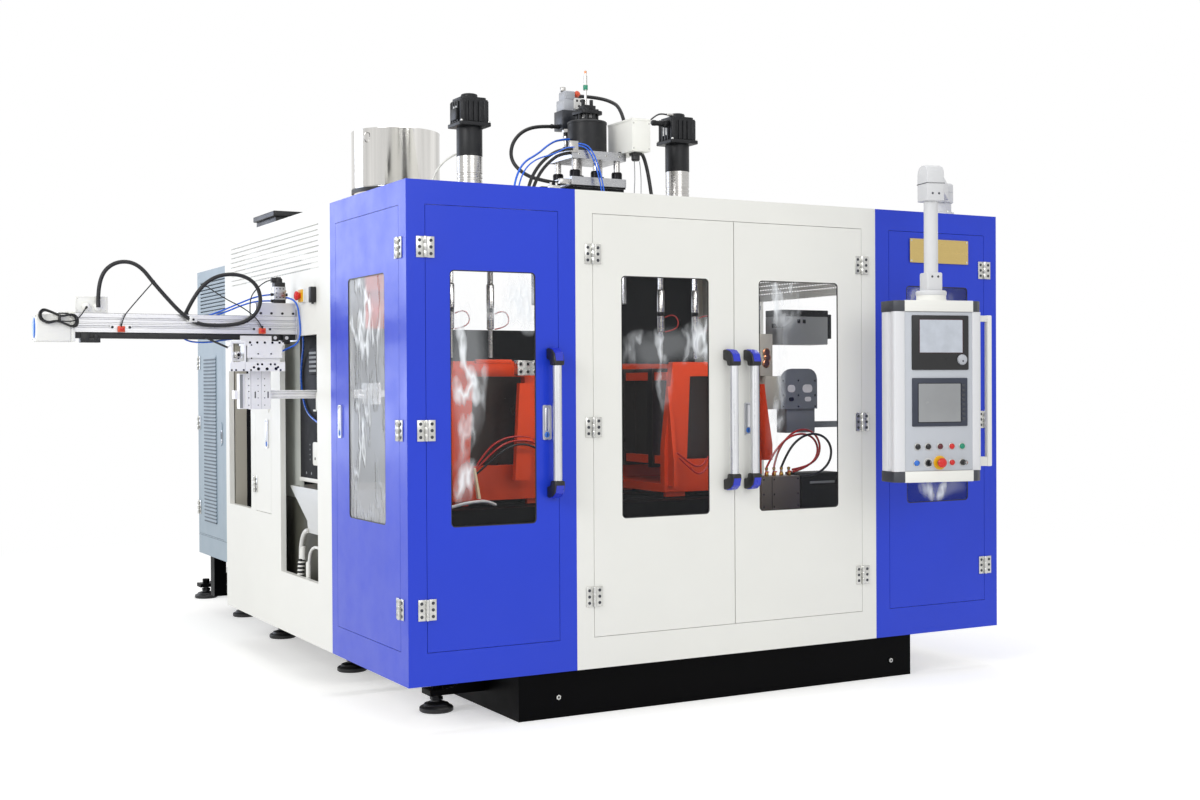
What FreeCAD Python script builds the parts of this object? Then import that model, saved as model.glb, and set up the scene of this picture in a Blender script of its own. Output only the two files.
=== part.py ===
import FreeCAD, Part
import math
import os

V = FreeCAD.Vector

# A double-station extrusion blow moulding machine. Sizes in millimetres, +X to the right along the
# front, +Y to the back, +Z up. The origin is on the floor, under the line of the two blow stations.

# ---- driving dimensions: guard body ----
body_width = 2925.0
front_y = -1388.0
corner_width = 712.0
corner_depth = 865.0
side_depth = 1667.0
panel_bottom = 190.0
panel_height = 1900.0
sheet = 3.0
fold = 30.0
seam = 4.0

# ---- driving dimensions: doors ----
door_margin = 75.5
door_drop = 93.0
door_rise = 126.0
door_thick = 28.0
window_side = 98.0
side_window_side = 150.0
window_top = 241.0
window_bottom = 465.0
window_radius = 18.0
pane_thick = 6.0
pane_lap = 20.0
hinge_height = 80.0
hinge_leaf = 30.0
hinge_leaf_thick = 4.0
hinge_barrel = 7.0
hinge_leaf_start = 6.8
knuckle_radius = 6.9
lock_width = 36.0
lock_height = 132.0
lock_depth = 5.0
lock_edge = 54.0
handle_edge = 32.0
left_grip_x = 36.0
right_grip_x = 66.0
centre_window_start = 129.0
centre_window_end = 123.5

# ---- driving dimensions: base ----
base_half_width = 985.0
base_front_inset = 50.0
base_top = 200.0
base_back = 1040.0
table_half_width = 960.0
table_front = -420.0
table_back = 420.0
table_top = 760.0
rail_spacing = 520.0
rail_width = 36.0
rail_height = 30.0
foot_reach = 195.0
rear_foot_reach = 159.0
foot_rows = (-975.0, 32.0, 1109.0)
rear_foot_rows = (1955.0, 2837.0)
foot_radius = 69.0
foot_pad = 26.0
foot_screw_radius = 22.0
lock_nut_radius = 22.0
lock_nut_height = 26.0
outrigger_width = 90.0
outrigger_low = 70.0
outrigger_high = 150.0
outrigger_plate = 22.0
gusset_thick = 12.0
seat_gap = 0.3
ladder_front = 1040.3
ladder_back = 2940.0
ladder_rail = 160.0
ladder_low = 20.0
ladder_top = 170.0

# ---- driving dimensions: moulding stations ----
station_x = 585.0
cavity_pitch = 208.0
shuttle_stroke = 585.0
frame_half_width = 280.0
frame_depth = 640.0
frame_plate = 40.0
frame_top = 1430.0
frame_foot = 40.0
carriage_gap = 0.3
guide_x = 225.0
guide_width = 34.0
guide_low = 925.0
guide_high = 965.0
tie_low = 1340.0
tie_high = 1380.0
guide_play = 0.5
rail_play = 0.6
platen_half_width = 255.0
platen_low = 905.0
platen_high = 1400.0
platen_thick = 45.0
mould_half_width = 190.0
mould_low = 960.0
mould_high = 1400.0
mould_depth = 120.0
parting_gap = 0.3
bottle_radius = 68.0
bottle_height = 270.0
neck_height = 60.0
neck_radius = 19.0

# ---- driving dimensions: blow units and head ----
blow_tube_radius = 61.0
blow_body_side = 148.0
blow_cap_radius = 40.0
bridge_half = 110.0
bridge_thick = 26.0
hanger_thick = 14.0
crosshead_half = 150.0
crosshead_depth = 38.0
crosshead_thick = 20.0
blow_tube_low = 1990.0
blow_split = 2415.0
blow_tube_high = 2557.0
blow_body_high = 2682.0
blow_cap_high = 2716.0
pin_crosshead_z = 1905.0
pin_radius = 14.0
pin_tip_radius = 11.0
pin_collar_z = 1690.0
stem_half = 23.5
stem_play = 0.4
pin_end_z = 1452.0
head_y = -105.0
head_plate_x = 300.0
head_plate_y = 245.0
head_plate_thick = 40.0
lower_plate_z = 2284.0
upper_plate_z = 2412.0
head_cylinder_radius = 96.0
head_cylinder_height = 155.0
crown_radius = 62.0
crown_rise = 38.0
crown_thick = 18.0
crown_stud_x = 32.0
spindle_top = 348.0
valve_low = 138.0
valve_high = 234.0
pilot_high = 336.0
valve_start = 20.0
valve_depth = 92.0
valve_left = -76.0
valve_right = 8.0
column_radius = 14.0
column_inset = 34.0
nut_lap = 9.0
nut_height = 34.0
die_nose_radius = 55.0
die_face_z = 1560.0

# ---- driving dimensions: extruder ----
barrel_z = 2196.0
barrel_radius = 62.0
barrel_bore = 36.0
screw_radius = 33.0
screw_play = 0.5
heater_radius = 84.0
heater_count = 4
heater_length = 380.0
heater_gap = 90.0
flange_radius = 90.0
flange_thick = 46.0
cover_half_width = 118.0
cover_top = 2322.0
cover_vents = 5
barrel_front = 95.0
throat_y = 2477.0
throat_side = 230.0
hopper_radius = 282.0
hopper_low = 2544.0
hopper_high = 2936.0
hopper_wall = 3.0
gearbox_front = 2640.0
gearbox_length = 290.0

# ---- driving dimensions: cabinet ----
cabinet_inset = 150.0
cabinet_front = 1180.0
cabinet_back = 2319.0
cabinet_depth = 320.0
cabinet_low = 344.0
cabinet_high = 1993.0
cabinet_base = 110.0
cabinet_door_front = 1765.0
cabinet_door_high = 1632.0
louvre_pitch = 20.7
louvre_height = 8.0
louvre_lean = 7.0
louvre_back = 1.0
louvre_count = 46
louvre_low = 550.0
louvre_y0 = 1903.0
louvre_y1 = 2169.0
wide_louvre_count = 11
wide_louvre_low = 1712.0

# ---- driving dimensions: take-out robot ----
beam_front_y = -98.0
beam_side = 80.0
beam_low = 1551.0
beam_length = 960.0
carriage_out = 179.2
carriage_half = 85.0
carriage_face = 58.0
cross_reach = 156.0
bracket_start = 15.2
bracket_end = 195.2
bracket_height = 58.0
stop_start = 24.8
stop_end = 102.8
gripper_reach = 342.8
gripper_plate = 12.0
finger_length = 81.0
gland_x = (46.0, 92.0)

# ---- driving dimensions: roof vent ----
vent_inset = 112.5
vent_width = 170.0
vent_front = 620.0
vent_length = 330.0
vent_rise = 66.0
vent_lid = 28.0
vent_lap = 14.0

# ---- driving dimensions: pendant ----
pendant_x = 780.0
pendant_y = -1720.0
pendant_yaw = -12.0
post_x = 1230.0
post_y = -1280.0
box_width = 410.0
box_face_width = 318.0
box_depth = 130.0
box_low = 903.0
box_high = 1665.0
cap_height = 47.0

# ---- values worked out from the driving dimensions ----
shoe_z = table_top + rail_height + carriage_gap
half_width = body_width / 2
wall_x = -half_width - seat_gap
beam_x = wall_x - beam_length
carriage_x = wall_x - carriage_out
cabinet_x = -half_width + cabinet_inset
gearbox_back = gearbox_front + gearbox_length
roof_z = panel_bottom + panel_height
side_front = front_y + corner_depth
rear_y = side_front + side_depth
door_low = panel_bottom + door_rise
door_high = roof_z - door_drop
centre_half = half_width - corner_width
os.makedirs("parts", exist_ok=True)


def save(name, *solids):
    flat = []
    for solid in solids:
        flat.extend(solid.Solids)
    shape = flat[0] if len(flat) == 1 else Part.makeCompound(flat)
    shape.exportStep("parts/" + name + ".step")
    print("%-24s solids %2d  volume %12.0f" % (name, len(flat), shape.Volume))


def block(x0, x1, y0, y1, z0, z1):
    return Part.makeBox(x1 - x0, y1 - y0, z1 - z0, V(x0, y0, z0))


def rod(radius, start, end):
    axis = end.sub(start)
    return Part.makeCylinder(radius, axis.Length, start, axis)


def outline(points, depth):
    face = Part.Face(Part.makePolygon(points + [points[0]]))
    return face.extrude(depth)


round_sides = 16
knob_sides = 12
pin_sides = 8
hexagon = 6
hopper_sides = 36


def prism(sides, radius, x, y, z0, z1):
    """Upright bar with flat sides: nuts, fittings, small knobs."""
    ring = []
    for i in range(sides):
        angle = 2 * math.pi * (i + 0.5) / sides
        ring.append(V(x + radius * math.cos(angle), y + radius * math.sin(angle), z0))
    return outline(ring, V(0, 0, z1 - z0))


def lying_prism(sides, radius, x, z, y0, y1):
    """Bar with flat sides that runs along Y."""
    ring = []
    for i in range(sides):
        angle = 2 * math.pi * (i + 0.5) / sides
        ring.append(V(x + radius * math.cos(angle), y0, z + radius * math.sin(angle)))
    return outline(ring, V(0, y1 - y0, 0))


def fuse(first, *others):
    return first.fuse(list(others)).removeSplitter()


def cut(base, *tools):
    return base.cut(list(tools))


def turned(shape, x, y, degrees):
    copy = shape.copy()
    copy.rotate(V(x, y, 0), V(0, 0, 1), degrees)
    return copy


def mirrored(shape):
    return shape.mirror(V(0, 0, 0), V(1, 0, 0))


def moved(shape, x, y, z):
    copy = shape.copy()
    copy.translate(V(x, y, z))
    return copy


def edges_where(shape, test):
    return [edge for edge in shape.Edges if test(edge)]


def upright_rounded(x0, x1, y0, y1, z0, z1, radius):
    """Box whose four edges along Y are rounded: a window hole, a pane."""
    body = block(x0, x1, y0, y1, z0, z1)
    along_y = edges_where(body, lambda e: abs(e.BoundBox.YLength - (y1 - y0)) < 0.01)
    return body.makeFillet(radius, along_y)


# ---------------------------------------------------------------- wall panels
# A panel is drawn lying on the front: its outer face at y = 0, its inside at +y, x from 0 to its width.

def sheet_ring(x0, x1, z0, z1, depth):
    """Folded edge that stands inward round an opening or round a sheet."""
    outer = block(x0 - sheet, x1 + sheet, 0, depth, z0 - sheet, z1 + sheet)
    inner = block(x0, x1, -1, depth + 1, z0, z1)
    return cut(outer, inner)


def flush_lock(x, z):
    """Flush swing lock: a long plate with cut corners on the door skin."""
    half = lock_width / 2
    tall = lock_height / 2
    corner = half - 5
    ring = []
    for sx, sz in ((1, 1), (-1, 1), (-1, -1), (1, -1)):
        pair = [V(x + sx * half, 0, z + sz * (tall - corner)), V(x + sx * (half - corner), 0, z + sz * tall)]
        ring += pair if sx * sz > 0 else pair[::-1]
    return outline(ring, V(0, -lock_depth, 0))


def door_tray(width, low, high, thick, hinge_side, hinge_levels, window=None, lock=None):
    """Folded sheet door: skin, four folded edges, window hole, hinge leaves, flush lock."""
    skin = block(0, width, 0, sheet, low, high)
    ring = sheet_ring(sheet, width - sheet, low + sheet, high - sheet, thick)
    tray = fuse(skin, ring)
    if window:
        x0, x1, z0, z1 = window
        tray = cut(tray, upright_rounded(x0, x1, -1, sheet + 1, z0, z1, window_radius))
    for level in hinge_levels:
        inner = hinge_leaf_start - seam / 2
        leaf = block(inner, inner + hinge_leaf, -hinge_leaf_thick, 0, level - hinge_height / 2, level + hinge_height / 2)
        if hinge_side == "right":
            leaf = moved(leaf, width - 2 * inner - hinge_leaf, 0, 0)
        tray = fuse(tray, leaf)
    if lock:
        tray = fuse(tray, flush_lock(*lock))
    return tray


def window_of(width, low, high, side):
    return (side, width - side, low + window_bottom, high - window_top)


def pane(window):
    x0, x1, z0, z1 = window
    return block(x0 - pane_lap, x1 + pane_lap, sheet, sheet + pane_thick, z0 - pane_lap, z1 + pane_lap)


def hinge_fixed(direction, level):
    """Fixed leaf with its knuckle on the seam line x = 0; the leaf runs away from the door."""
    z0 = level - hinge_height / 2
    z1 = level + hinge_height / 2
    knuckle = prism(6, knuckle_radius, 0, -hinge_barrel, z0, z1)
    reach = hinge_barrel + hinge_leaf
    x0, x1 = sorted((direction * reach, direction * 1.0))
    return fuse(block(x0, x1, -hinge_leaf_thick, 0, z0, z1), knuckle)


def on_front(shape, x):
    return moved(shape, x, front_y, 0)


def on_left(shape, y, x=-half_width):
    """Puts a front drawing on a wall that looks to -X; its x axis then runs to +Y mirrored about its start."""
    return moved(turned(mirrored(shape), 0, 0, -90), x, y, 0)


hinge_levels = [panel_bottom + rise for rise in (287.0, 960.0, 1648.0)]
lock_level = panel_bottom + 983.0

corner_door_width = corner_width - 2 * door_margin - seam
side_door_width = corner_depth - 2 * door_margin + 5.0 - seam
centre_margin = 79.0

corner_window = window_of(corner_door_width, door_low, door_high, window_side)
side_window = window_of(side_door_width, door_low, door_high, side_window_side)


# ---------------------------------------------------------------- base and feet
def outrigger(side, y, reach):
    """Arm with two gussets and the lock nut of one levelling foot, bolted to the side of a frame."""
    root = base_half_width + seat_gap
    tip = root + reach + outrigger_width / 2
    half = outrigger_width / 2
    arm_top = outrigger_low + outrigger_plate
    arm = block(root, tip, y - half, y + half, outrigger_low, arm_top)
    gusset = outline([V(root, y - half, arm_top - 1), V(root + reach - lock_nut_radius - 6, y - half, arm_top - 1),
                      V(root, y - half, outrigger_high)], V(0, gusset_thick, 0))
    pair = moved(gusset, 0, outrigger_width - gusset_thick, 0)
    nut = prism(hexagon, lock_nut_radius, base_half_width + reach, y, arm_top - 1, arm_top + lock_nut_height)
    body = fuse(arm, gusset, pair, nut)
    return body if side > 0 else mirrored(body)


def levelling_foot(x, y):
    """Round pad with a hexagonal screw that runs up to the outrigger."""
    pad = prism(knob_sides, foot_radius, x, y, 0, foot_pad)
    screw = prism(hexagon, foot_screw_radius, x, y, foot_pad - 1, outrigger_low - seat_gap)
    return fuse(pad, screw)


def make_base():
    bed = block(-base_half_width, base_half_width, front_y + base_front_inset, base_back, 0, base_top)
    table = block(-table_half_width, table_half_width, table_front, table_back, base_top - 1, table_top)
    skirt = block(-table_half_width + 60, table_half_width - 60, table_front - 1, table_front + 40, base_top + 40, table_top - 60)
    body = cut(fuse(bed, table), skirt)
    rails = []
    for side in (-1, 1):
        y = side * rail_spacing / 2
        half = rail_width / 2
        section = [V(0, y - half, table_top), V(0, y + half, table_top), V(0, y + half - 7, table_top + 14),
                   V(0, y + half, table_top + rail_height), V(0, y - half, table_top + rail_height),
                   V(0, y - half + 7, table_top + 14)]
        rails.append(moved(outline(section, V(2 * table_half_width - 40, 0, 0)), 20 - table_half_width, 0, 0))
    save("base_frame", fuse(body, *rails))


def make_ladder():
    """Rear ladder frame, the extruder trestle and the two cabinet brackets."""
    inner = base_half_width - ladder_rail
    parts = []
    for side in (-1, 1):
        x0, x1 = sorted((side * inner, side * base_half_width))
        parts.append(block(x0, x1, ladder_front, ladder_back, ladder_low, ladder_top))
    for y in (ladder_front, 2010.0, ladder_back - ladder_rail):
        parts.append(block(-inner - 1, inner + 1, y, y + ladder_rail, ladder_low, ladder_top))
    trestle_low = block(-190, 190, gearbox_front - 220, gearbox_back, ladder_top - 1, ladder_top + 40)
    column = block(-150, 150, gearbox_front - 180, gearbox_back - 20, ladder_top + 39, 1330)
    hollow = block(-110, 110, gearbox_front - 181, gearbox_back - 19, ladder_top + 100, 1270)
    parts += [trestle_low, cut(column, hollow)]
    for y in (cabinet_front + 90, cabinet_back - 260):
        parts.append(block(cabinet_x + 20, -base_half_width + 1, y, y + 80, ladder_top - 60, ladder_top))
        parts.append(block(cabinet_x + 20, cabinet_x + 90, y, y + 80, ladder_top - 1, cabinet_low))
        parts.append(block(-base_half_width - 70, -base_half_width, y, y + 80, ladder_top - 1, cabinet_low))
    save("extruder_base", fuse(*parts))


def make_feet():
    arms = []
    feet = []
    for rows, reach in ((foot_rows, foot_reach), (rear_foot_rows, rear_foot_reach)):
        for y in rows:
            for side in (-1, 1):
                arms.append(outrigger(side, y, reach))
                feet.append(levelling_foot(side * (base_half_width + reach), y))
    save("outriggers", *arms)
    save("levelling_feet", *feet)


# ---------------------------------------------------------------- guard panels
def make_corner_housings():
    """Blue corner: a front strip and a side wall folded from one sheet, with two door openings."""
    x1 = corner_width
    front = block(0, x1, 0, sheet, panel_bottom, roof_z)
    side = block(0, sheet, 0, corner_depth, panel_bottom, roof_z)
    joint_fold = block(x1 - sheet, x1, 0, fold, panel_bottom, roof_z)
    back_fold = block(0, fold, corner_depth - sheet, corner_depth, panel_bottom, roof_z)
    rims = []
    for z in (panel_bottom, roof_z - sheet):
        rims.append(block(0, x1, 0, fold, z, z + sheet))
        rims.append(block(0, fold, 0, corner_depth, z, z + sheet))
    x_low = door_margin
    x_high = corner_width - door_margin
    front_rim = sheet_ring(x_low, x_high, door_low - seam / 2, door_high + seam / 2, fold)
    front_hole = block(x_low, x_high, -1, fold + 1, door_low - seam / 2, door_high + seam / 2)
    y_low = door_margin
    y_high = y_low + side_door_width + seam
    side_rim = sheet_ring(y_low, y_high, door_low - seam / 2, door_high + seam / 2, fold)
    side_rim = turned(mirrored(side_rim), 0, 0, -90)
    side_hole = block(-1, fold + 1, y_low, y_high, door_low - seam / 2, door_high + seam / 2)
    plain = fuse(front, side, joint_fold, back_fold, *rims)
    right = cut(fuse(plain, front_rim), front_hole)
    left = cut(fuse(plain, front_rim, side_rim), front_hole, side_hole)
    save("left_housing", moved(left, -half_width, front_y, 0))
    save("right_housing", mirrored(moved(right, -half_width, front_y, 0)))


def make_centre_front():
    low = door_low - seam / 2
    high = door_high + seam / 2
    x = centre_half - centre_margin + seam / 2
    wall = block(-centre_half + 0.3, centre_half - 0.3, 0, sheet, panel_bottom, roof_z)
    folds = [block(-centre_half + 0.3, -centre_half + 0.3 + sheet, 0, fold, panel_bottom, roof_z),
             block(centre_half - 0.3 - sheet, centre_half - 0.3, 0, fold, panel_bottom, roof_z)]
    for z in (panel_bottom, roof_z - sheet):
        folds.append(block(-centre_half + 0.3, centre_half - 0.3, 0, fold, z, z + sheet))
    rim = sheet_ring(-x, x, low, high, fold)
    body = cut(fuse(wall, rim, *folds), block(-x, x, -1, fold + 1, low, high))
    save("centre_front", moved(body, 0, front_y, 0))


side_wall_length = side_depth - 0.3
big_opening = (183.0, 722.0, 463.0, 1545.0)
rear_opening = (1208.0, 1602.0, 720.0, 1545.0)
hatch_opening = (866.0, 1129.0, 716.0, 1545.0)
right_opening = (183.0, 1010.0, 463.0, 1790.0)
vent_rows = 9
vent_pitch = 23.1
vent_low = 1833.0
vent_start = 150.0
vent_end = 1540.0
vent_height = 6.0


def side_wall(openings):
    """White side sheet, drawn as a front panel: x runs from the blue corner to the back."""
    wall = block(0, side_wall_length, 0, sheet, panel_bottom, roof_z)
    folds = [block(0, sheet, 0, fold, panel_bottom, roof_z),
             block(side_wall_length - sheet, side_wall_length, 0, 2 * fold, panel_bottom, roof_z)]
    for z in (panel_bottom, roof_z - sheet):
        folds.append(block(0, side_wall_length, 0, fold, z, z + sheet))
    holes = []
    for x0, x1, z0, z1 in openings:
        folds.append(sheet_ring(x0, x1, z0, z1, fold - 5))
        holes.append(block(x0, x1, -1, fold + 1, z0, z1))
    for row in range(vent_rows):
        z = vent_low + row * vent_pitch
        shift = (row % 2) * vent_pitch / 2
        holes.append(block(vent_start + shift, vent_end + shift, -1, sheet + 1, z - vent_height / 2, z + vent_height / 2))
    return cut(fuse(wall, *folds), *holes)


def make_side_panels():
    left = side_wall((big_opening, hatch_opening, rear_opening))
    save("left_side_panel", on_left(left, side_front + 0.3))
    right = side_wall((right_opening,))
    save("right_side_panel", mirrored(on_left(right, side_front + 0.3)))


head_hole = (-240.0, 240.0, -290.0, 240.0)


def make_roof():
    reach = half_width - fold - seat_gap
    plate = block(-reach, reach, front_y + fold + seat_gap, rear_y - sheet, roof_z - 2 * sheet, roof_z - sheet)
    x0, x1, y0, y1 = head_hole
    holes = [block(x0, x1, y0, y1, roof_z - 10, roof_z + 10)]
    for side in (-1, 1):
        holes.append(prism(8, blow_tube_radius + 16, side * station_x, 0, roof_z - 20, roof_z + 20))
    save("roof_panel", cut(plate, *holes))


tube = 60.0
guard_step_x = 300.0
guard_step_z = 1630.0


def make_inner_frame():
    """Guard frame of square tubes: floor rails on the base, posts, roof rails and the head bridge."""
    low0 = base_top
    low1 = base_top + tube
    top1 = roof_z - 2 * sheet
    top0 = top1 - tube
    x_out = half_width - fold - seat_gap
    x_in = x_out - tube
    y_front = front_y + fold + seat_gap
    y_back = rear_y - sheet
    bars = []
    for z0, z1 in ((low0, low1), (top0, top1)):
        for side in (-1, 1):
            x0, x1 = sorted((side * x_in, side * x_out))
            bars.append(block(x0, x1, y_front, y_back, z0, z1))
        bars.append(block(-x_in, x_in, y_front, y_front + tube, z0, z1))
        bars.append(block(-x_in, x_in, y_back - tube, y_back, z0, z1))
    bars.append(block(-x_in, x_in, side_front - tube / 2, side_front + tube / 2, low0, low1))
    for side in (-1, 1):
        x0, x1 = sorted((side * x_in, side * x_out))
        for y in (y_front, side_front - tube / 2, y_back - tube):
            bars.append(block(x0, x1, y, y + tube, low1, top0))
        x0, x1 = sorted((side * (centre_half - tube / 2), side * (centre_half + tube / 2)))
        bars.append(block(x0, x1, y_front, y_front + tube, low1, top0))
        bars.append(block(x0, x1, y_back - tube, y_back, low1, top0))
        y0, y1 = (head_hole[2] - tube, head_hole[2]) if side < 0 else (head_hole[3], head_hole[3] + tube)
        bars.append(block(-x_in, x_in, y0, y1, top0, top1))
    save("inner_frame", *bars)


def make_rear_guard():
    """Dark sheet in front of the rear posts: full height on the right, low enough on the left to see over."""
    y1 = rear_y - sheet - tube - seat_gap
    reach = half_width - fold - tube - seat_gap
    low = base_top + tube + seat_gap
    high = roof_z - 2 * sheet - tube - seat_gap
    wide = block(-reach, reach, y1 - sheet, y1, low, guard_step_z)
    tall = block(guard_step_x, reach, y1 - sheet, y1, guard_step_z - 1, high)
    save("rear_guard", fuse(wide, tall))


# ---------------------------------------------------------------- doors
def tube_handle(x):
    """Pull handle: satin tube between two curved end caps, drawn at its door's outer face."""
    tube_y = -52.0
    low = 700.0 + panel_bottom
    high = 1262.0 + panel_bottom
    bar = rod(19.0, V(x, tube_y, low + 20), V(x, tube_y, high - 20))
    caps = []
    for z, up in ((low, 1), (high, -1)):
        profile = [V(x - 21, 0, z - up * 12), V(x - 21, tube_y - 21, z + up * 8), V(x - 21, tube_y - 21, z + up * 62),
                   V(x - 21, tube_y + 20, z + up * 62), V(x - 21, 0, z + up * 40)]
        caps.append(outline(profile, V(42, 0, 0)))
    return fuse(bar, *caps)


def make_doors():
    corner_leaf = corner_door_width
    x_left = -half_width + door_margin + seam / 2
    lock_x = corner_leaf - lock_edge
    left = door_tray(corner_leaf, door_low, door_high, door_thick, "left", hinge_levels, corner_window,
                     (lock_x, lock_level))
    save("front_left_door", on_front(left, x_left))
    save("front_left_window", on_front(pane(corner_window), x_left))
    save("front_left_handle", on_front(tube_handle(corner_leaf - handle_edge), x_left))
    right_leaf = mirrored(on_front(left, x_left))
    save("front_right_door", right_leaf)
    save("front_right_window", mirrored(on_front(pane(corner_window), x_left)))
    y_start = front_y + door_margin + seam / 2
    side_leaf = door_tray(side_door_width, door_low, door_high, door_thick, "left", hinge_levels, side_window,
                          (side_door_width - lock_edge, lock_level))
    save("side_door", on_left(side_leaf, y_start))
    save("side_window", on_left(pane(side_window), y_start))
    x_centre = -centre_half + centre_margin
    leaf_width = -x_centre - seam / 2
    window = (centre_window_start, leaf_width - centre_window_end, door_low + window_bottom, door_high - window_top)
    centre_leaf = door_tray(leaf_width, door_low, door_high, door_thick, "left", hinge_levels, window)
    handle = tube_handle(-x_centre - left_grip_x)
    save("centre_left_door", on_front(centre_leaf, x_centre))
    save("centre_left_window", on_front(pane(window), x_centre))
    save("centre_left_handle", on_front(handle, x_centre))
    locked = fuse(centre_leaf, flush_lock(-x_centre - right_grip_x, lock_level))
    save("centre_right_door", mirrored(on_front(locked, x_centre)))
    save("centre_right_window", mirrored(on_front(pane(window), x_centre)))
    save("centre_right_handle", mirrored(on_front(tube_handle(-x_centre - right_grip_x), x_centre)))
    x0, x1, z0, z1 = hatch_opening
    hatch = door_tray(x1 - x0 - seam, z0 + seam / 2, z1 - seam / 2, 20.0, "right",
                      (z0 + 130.0, z1 - 130.0), None, (38.0, lock_level + 90))
    save("side_hatch", on_left(hatch, side_front + 0.3 + x0 + seam / 2))


def make_hinges():
    leaves = []
    for level in hinge_levels:
        corner = on_front(hinge_fixed(-1, level), -half_width + door_margin)
        centre = on_front(hinge_fixed(-1, level), -centre_half + centre_margin - seam / 2)
        leaves += [corner, mirrored(corner), centre, mirrored(centre)]
        leaves.append(on_left(hinge_fixed(-1, level), front_y + door_margin))
    for level in (hatch_opening[2] + 130.0, hatch_opening[3] - 130.0):
        leaves.append(on_left(hinge_fixed(1, level), side_front + 0.3 + hatch_opening[1]))
    for level in cabinet_hinge_levels:
        leaves.append(on_left(hinge_fixed(1, level), cabinet_hinge_y, cabinet_x))
    save("hinge_leaves", *leaves)


# ---------------------------------------------------------------- electrical cabinet
cabinet_hinge_levels = (cabinet_low + cabinet_base + 160, 1110.0, cabinet_door_high - 170)
cabinet_hinge_y = cabinet_back - 22.0
cabinet_door_thick = 24.0


def make_cabinet():
    length = cabinet_back - cabinet_front
    wall = 3.0
    shell = block(0, length, 0, cabinet_depth, cabinet_low, cabinet_high)
    cavity = block(wall, length - wall, wall, cabinet_depth - wall, cabinet_low + cabinet_base, cabinet_high - wall)
    foot_hollow = block(60, length - 60, 60, cabinet_depth - 60, cabinet_low - 1, cabinet_low + cabinet_base - wall)
    x0 = cabinet_door_front - cabinet_front
    x1 = cabinet_hinge_y - cabinet_front
    z0 = cabinet_low + cabinet_base + 6
    z1 = cabinet_door_high
    rim = sheet_ring(x0, x1, z0, z1, cabinet_door_thick + 4)
    body = fuse(cut(shell, cavity, foot_hollow), rim)
    body = cut(body, block(x0, x1, -1, cabinet_door_thick + 5, z0, z1))
    plate = block(60, length - 60, cabinet_depth - 40, cabinet_depth - 34, z0 + 40, cabinet_high - 80)
    studs = [block(x, x + 20, cabinet_depth - 35, cabinet_depth - wall + 0.5, z, z + 20)
             for x in (100, length - 120) for z in (z0 + 60, cabinet_high - 140)]
    gear = [block(x, x + 180, cabinet_depth - 190, cabinet_depth - 39.5, 900, 1120) for x in (120, 350, 580, 810)]
    body = fuse(body, plate, *(studs + gear))
    slots = []
    for i in range(wide_louvre_count):
        z = wide_louvre_low + i * louvre_pitch
        slots.append(block(70, length - 74, -1, wall + 1, z, z + louvre_height))
    save("electrical_cabinet", on_left(cut(body, *slots), cabinet_front, cabinet_x))
    width = x1 - x0 - seam
    levels = cabinet_hinge_levels
    door = door_tray(width, z0 + seam / 2, z1 - seam / 2, cabinet_door_thick, "right", levels, None, (30.0, 1055.0))
    field = louvre_field(louvre_y0 - cabinet_door_front, louvre_y1 - cabinet_door_front)
    save("cabinet_door", on_left(fuse(door, field), cabinet_door_front + seam / 2, cabinet_x))


def louvre_field(x0, x1):
    """Pressed louvres: each slat leans out at its foot and steps back above."""
    ring = [V(x0, 0, louvre_low)]
    for i in range(louvre_count):
        z = louvre_low + i * louvre_pitch
        ring.append(V(x0, -louvre_lean, z))
        ring.append(V(x0, -louvre_back, z + louvre_pitch))
    ring.append(V(x0, 0, louvre_low + louvre_count * louvre_pitch))
    return outline(ring, V(x1 - x0, 0, 0))


# ---------------------------------------------------------------- clamp stations
def end_frame(y0, y1):
    """Cast end frame of a clamp: a portal that narrows upward, with a window that narrows with it."""
    w = frame_half_width
    low = shoe_z + frame_foot - 1
    top = frame_top
    plate = outline([V(-w, y0, low), V(w, y0, low), V(w, y0, low + 170), V(w - 50, y0, top), V(-w + 50, y0, top),
                     V(-w, y0, low + 170)], V(0, y1 - y0, 0))
    inner = w - 130
    window = outline([V(-inner, y0 - 1, low + 120), V(inner, y0 - 1, low + 120), V(inner - 20, y0 - 1, top - 70),
                      V(-inner + 20, y0 - 1, top - 70)], V(0, y1 - y0 + 2, 0))
    return cut(plate, window)


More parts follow.
